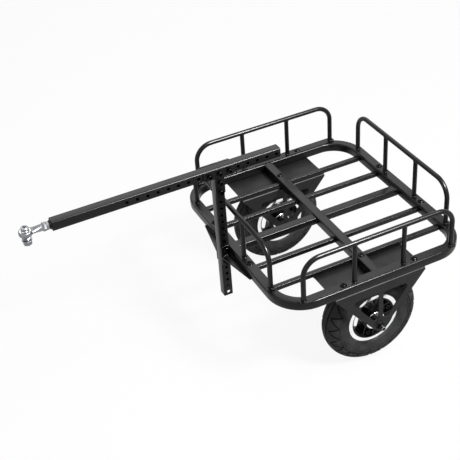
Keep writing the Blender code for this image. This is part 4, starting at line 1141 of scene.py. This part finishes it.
def t_plates():
    """Two T-shaped plates that clasp the post and the drawbar."""
    low, high = span('t_plate_left')
    arm = DRAWBAR_PITCH + T_ARM_MARGIN
    leg = TUBE / 2 + T_LEG_OVERHANG
    under = DRAWBAR.z - TUBE / 2
    corners = [(-arm, high.z), (-arm, under), (-leg, under), (-leg, low.z + T_CHAMFER),
               (-leg + T_CHAMFER, low.z), (leg, low.z), (leg, under), (arm, under),
               (arm, high.z)]
    radii = [T_CORNER, T_CORNER, 1.5, 1.5, 1.5, T_CORNER, 1.5, T_CORNER, T_CORNER]
    outline = moved(rounded(corners, radii, 5), (POST.x, 0.0))
    for node in ('t_plate_left', 't_plate_right'):
        near, far = span(node)
        plate(node + '_sheet', outline, 'Y', near.y, far.y, node)


def post_brackets():
    """An ear beside the post and a wing along the ring, on each side."""
    for label, side in (('left', 1), ('right', -1)):
        node = 'post_bracket_' + label
        low, high = span(node)
        near, far = sorted((abs(low.y), abs(high.y)))
        face = rounded([(low.x, low.z), (high.x, low.z), (high.x, high.z), (low.x, high.z)],
                       [1.0, EAR_CORNER, EAR_CORNER, 1.0], 5)
        plate(node + '_ear', face, 'Y', side * near, side * (near + SHEET), node)
        top = RING_TOP - WING_DROP
        root = side * (near + SHEET / 2)
        wing = [(low.x, root), (high.x, root), (high.x, side * (near + SHEET + 1)),
                (low.x + WING_TIP, side * far), (low.x, side * far)]
        plate(node + '_wing', rounded(wing, [0, 0, 1.5, 1.5, 0], 4), 'Z', top - SHEET, top, node)
        welds = bmesh.new()
        y = side * (near + SHEET + WELD_RISE)
        for z in (top + WELD_RISE, top - SHEET - WELD_RISE):
            weld([Vector((low.x + 3, y, z)), Vector((high.x - 2, y, z))], LEFT, welds, WING_WELD)
        piece(node + '_welds', welds, POWDER, node, smooth=60.0)


# Hitch

BALL = middle('rod_end_ball')


def threaded(name, start, end, axis, centre, node, body='trailer'):
    """A turned stud with the crests and roots of its thread."""
    profile, place = [(STUD_RADIUS - 1.0, start)], start + 0.6
    while place < end - 0.6:
        profile += [(STUD_RADIUS - 0.8, place), (STUD_RADIUS, place + THREAD_PITCH / 2)]
        place += THREAD_PITCH
    profile += [(STUD_RADIUS - 1.0, end)]
    piece(name, turned(profile, SMALL_TURN, axis, centre), ZINC, node, body, smooth=20.0)


def hex_nut(name, axis, start, end, centre, node, body='trailer'):
    """A hex nut with both of its faces chamfered."""
    across = centre.yz if axis == 'X' else centre.xy
    thing = piece(name, slab(moved(hexagon(HITCH_FLATS), across), axis, start, end), ZINC, node,
                  body)
    face, corner = HITCH_FLATS / 2 - 0.3, hex_corner(HITCH_FLATS) + 0.1
    cone = [(face, start), (corner, start + 1.3), (corner, end - 1.3), (face, end)]
    base = Vector(on_axis(*across, 0.0, axis))
    boolean(thing, turned(cone, ROUND_TURN, axis, base), 'INTERSECT')
    soften(thing, 25)


def hitch_plug():
    """Plug in the end of the drawbar: an insert, a flange, a stud and its jam nut."""
    bar_end = span('drawbar')[1].x
    nut_low, nut_high = span('jam_nut')
    low, high = span('hitch_plug')
    centre = Vector((0.0, 0.0, DRAWBAR.z))
    insert = moved(tube_outline(PLUG, TUBE_INNER_CORNER), centre.yz)
    piece('hitch_plug_body', slab(insert, 'X', low.x, bar_end + 0.6), POWDER, 'hitch_plug')
    start, end = bar_end + 0.3, nut_low.x - 0.3
    step = (start + end) / 2
    profile = [(PLUG_FLANGE_RADIUS - cut, place) for cut, place in
               ((0.5, start), (0.0, start + 0.5), (0.0, step), (0.6, step + 0.3),
                (1.6, step + 0.5), (1.6, end - 0.4), (2.2, end))]
    piece('hitch_plug_flange', turned(profile, ROUND_TURN, 'X', centre), POWDER, 'hitch_plug')
    threaded('hitch_stud', end - 1.0, high.x, 'X', centre, 'hitch_plug')
    hex_nut('jam_nut_body', 'X', nut_low.x, nut_high.x, centre, 'jam_nut')


def rod_end():
    """Forged eye with a hexagonal shank that blends into it."""
    low, high = span('rod_end_housing')
    eye = high.x - BALL.x
    half = EYE_THICKNESS / 2
    upper = [(RACE_RADIUS + 0.2, half - 0.6), (RACE_RADIUS + 0.8, half), (eye - 2.0, half),
             (eye - 0.6, half - 1.0), (eye, half - 2.6)]
    profile = upper + [(radius, -z) for radius, z in reversed(upper)]
    piece('rod_end_eye', turned(profile, FINE_TURN, 'Z', BALL, closed=True), ZINC,
          'rod_end_housing', smooth=50.0)
    hex_end = low.x + SHANK_HEX_LENGTH
    neck = BALL.x - RACE_RADIUS - 1.2
    unit = circle(1.0, ROUND_TURN)
    loops = []
    for scale, x in ((0.96, low.x), (1.0, low.x + 0.8), (1.0, hex_end - 0.8), (0.95, hex_end)):
        loop = []
        for u, v in unit:
            angle = math.atan2(v, u) % (math.pi / 3) - math.pi / 6
            radius = HITCH_FLATS / 2 / math.cos(angle) * scale
            loop.append((x, u * radius, BALL.z + v * radius))
        loops.append(loop)
    blend = 8
    for i in range(blend + 1):
        t = i / blend
        x = hex_end + 0.6 + (neck - hex_end - 0.6) * t
        ease = t * t * (3 - 2 * t)
        height = SHANK_RADIUS + (half * 0.94 - SHANK_RADIUS) * ease
        width = SHANK_RADIUS * (1 + 0.28 * ease ** 2)
        loops.append([(x, u * width, BALL.z + v * height) for u, v in unit])
    bm = bmesh.new()
    loft(bm, loops)
    piece('rod_end_shank', bm, ZINC, 'rod_end_housing', smooth=40.0)


def rod_end_ball():
    """Ball with a bore and flat ends, in the liner that holds it in the eye."""
    reach = span('rod_end_ball')[1] - BALL

    def sphere(radius, height, steps):
        levels = [height * (i / steps - 1) for i in range(2 * steps + 1)]
        return [(math.sqrt(radius ** 2 - z * z), z) for z in levels]

    half = EYE_THICKNESS / 2 * 0.9
    race = sphere(reach.x + 0.25, half, 6) + [(RACE_RADIUS, half), (RACE_RADIUS, -half)]
    piece('rod_end_liner', turned(race, FINE_TURN, 'Z', BALL, closed=True), STEEL,
          'rod_end_race')
    bore = BALL_BORE
    ball = sphere(reach.x, reach.z, 12) + [(bore + 0.7, reach.z), (bore, reach.z - 0.5),
                                           (bore, 0.5 - reach.z), (bore + 0.7, -reach.z)]
    piece('rod_end_sphere', turned(ball, FINE_TURN, 'Z', BALL, closed=True), STEEL,
          'rod_end_ball', 'hitch_ball', smooth=30.0)


def hitch_bolt():
    """Bolt through the ball with a low round head, a conical spacer and a flanged nut."""
    body = 'hitch_bolt'
    base = Vector((BALL.x, BALL.y, 0.0))
    low, high = span('hitch_bolt')
    seat = high.z - BOLT_HEAD_HEIGHT
    profile = [(8.0, seat), (9.0, seat + 0.6), (9.0, high.z - 1.2), (8.0, high.z)]
    thing = piece('hitch_bolt_head', turned(profile, ROUND_TURN, 'Z', base), ZINC,
                  'hitch_bolt', body)
    boolean(thing, slab(moved(hexagon(8.0), BALL.xy), 'Z', high.z - 4.0, high.z + 2.0))
    soften(thing, 35)
    threaded('hitch_bolt_shank', low.z, seat + 0.2, 'Z', base, 'hitch_bolt', body)
    low, high = span('hitch_spacer')
    wide = (high.x - low.x) / 2
    cone = [(WASHER_BORE, high.z), (7.2, high.z), (7.6, high.z - 0.4), (wide, low.z + 1.4),
            (wide, low.z + 0.4), (wide - 0.4, low.z), (WASHER_BORE, low.z)]
    piece('hitch_cone', turned(cone, ROUND_TURN, 'Z', base, closed=True), ZINC, 'hitch_spacer',
          body)
    low, high = span('hitch_nut')
    flange = high.z - 2.5
    disc = [(WASHER_BORE, high.z), (11.2, high.z), (12.0, high.z - 0.6), (11.6, flange + 0.4),
            (9.8, flange - 0.8), (WASHER_BORE, flange - 0.8)]
    piece('hitch_nut_flange', turned(disc, ROUND_TURN, 'Z', base, closed=True), ZINC,
          'hitch_nut', body)
    hex_nut('hitch_nut_hex', 'Z', low.z, flange, BALL, 'hitch_nut', body)


def hidden_tubes():
    """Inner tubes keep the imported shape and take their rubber."""
    for label in ('left', 'right'):
        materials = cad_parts[label + '_inner_tube'].data.materials
        materials.clear()
        materials.append(BUTYL)


# Studio

def lit_and_seen(tree, output, lit, seen):
    """Let seen rays find one shader, and the light that falls on the trailer the other."""
    path = add(tree, 'LightPath').outputs
    share = path['Is Camera Ray']
    for ray in ('Is Glossy Ray', 'Is Transmission Ray'):
        both = add(tree, 'Math', {0: share, 1: path[ray]}, operation='ADD', use_clamp=True)
        share = both.outputs[0]
    mix = add(tree, 'MixShader', {0: share, 1: lit.outputs[0], 2: seen.outputs[0]})
    add(tree, output, {'Surface': mix.outputs[0]})


def softbox(name, place, size, strength):
    """A soft lamp that faces the middle of the trailer."""
    light = bpy.data.lights.new(name, 'AREA')
    light.shape = 'RECTANGLE'
    light.size, light.size_y = size
    light.energy = strength
    lamp = linked(name, light)
    lamp.location = place
    aim = Vector((-0.1, 0.0, 0.3)) - lamp.location
    lamp.rotation_euler = aim.to_track_quat('-Z', 'Y').to_euler()
    return lamp


def studio():
    """Pale floor and white surround, four soft lamps, and a strip that shows only in gloss."""
    sheet = bpy.data.meshes.new('floor')
    corners = rectangle(FLOOR_WIDTH, FLOOR_WIDTH)
    sheet.from_pydata([(x, y, 0.0) for x, y in corners], [], [(0, 1, 2, 3)])
    floor = linked('floor', sheet)
    white = linear('#ffffff')
    material = bpy.data.materials.new('pale_grey_paper')
    tree = empty_tree(material)
    paper = add(tree, 'BsdfDiffuse', {'Color': linear('#b0b0b0')})
    glow = add(tree, 'Emission', {'Color': white, 'Strength': 1.2})
    pale = add(tree, 'MixShader', {0: 0.75, 1: paper.outputs[0], 2: glow.outputs[0]})
    lit_and_seen(tree, 'OutputMaterial', paper, pale)
    sheet.materials.append(material)

    world = bpy.data.worlds.new('studio')
    bpy.context.scene.world = world
    tree = empty_tree(world)
    dim, bright = (add(tree, 'Background', {'Color': white, 'Strength': strength})
                   for strength in (0.16, 1.0))
    lit_and_seen(tree, 'OutputWorld', dim, bright)

    softbox('back_softbox', (-0.9, -2.4, 2.6), (2.6, 1.6), 26.0)
    softbox('top_softbox', (-0.9, 0.8, 3.2), (1.2, 1.0), 17.0)
    softbox('side_softbox', (3.0, 0.6, 1.6), (1.4, 1.2), 9.0)
    softbox('front_softbox', (-1.15, 1.8, 2.55), (0.7, 0.5), 68.0)
    glint = softbox('glint_strip', (-1.05, 1.7, 2.85), (1.0, 0.4), 380.0)
    glint.visible_diffuse = False


def camera():
    """Long lens from the left front, high above the bed."""
    data = bpy.data.cameras.new('camera')
    data.lens = 81.25
    data.sensor_width = 36.0
    data.clip_end = 50.0
    eye = linked('camera', data)
    place = Vector((840.35, 1918.84, 1877.99))
    aim = Vector((-22.22, -53.02, 289.5))
    roll = math.radians(-4.654)
    turn = (aim - place).to_track_quat('-Z', 'Y').to_matrix().to_4x4()
    eye.matrix_world = Matrix.Translation(place * MM) @ turn @ Matrix.Rotation(roll, 4, 'Z')
    bpy.context.scene.camera = eye


def build():
    camera()
    studio()
    bed_ring()
    slat_grid()
    for name, along, across in (('left', AHEAD, LEFT), ('right', AHEAD, LEFT),
                                ('front', LEFT, AHEAD), ('rear', LEFT, AHEAD)):
        hoop('hoop_' + name, along, across)
    nut = nut_mesh('lock_nut', NUT_FLATS, NUT_HEIGHT, BOLT_RADIUS)
    rim_nut = nut_mesh('rim_nut', RIM_NUT_FLATS, RIM_NUT_HEIGHT, RIM_BOLT_RADIUS)
    head = cap_head()
    deck = [f'strip_screw_{i}' for i in range(1, 9)]
    deck += ['cross_beam_screw_left', 'cross_beam_screw_right']
    screws(deck, button_head(), BUTTON_HEIGHT, nut, UP, spin=0.7)
    joints = [f't_plate_bolt_{i}' for i in range(1, 6)]
    joints += ['post_bracket_bolt_1', 'post_bracket_bolt_2']
    screws(joints, head, CAP_HEIGHT, nut, LEFT, spin=0.9)
    for label, side in (('left', 1), ('right', -1)):
        wheel_bracket(label, side)
        axle_pin(label, side)
        wheel(label, side, head, rim_nut)
    post()
    drawbar()
    t_plates()
    post_brackets()
    hitch_plug()
    rod_end()
    rod_end_ball()
    hitch_bolt()
    hidden_tubes()


build()
bpy.context.scene.view_settings.view_transform = 'Standard'
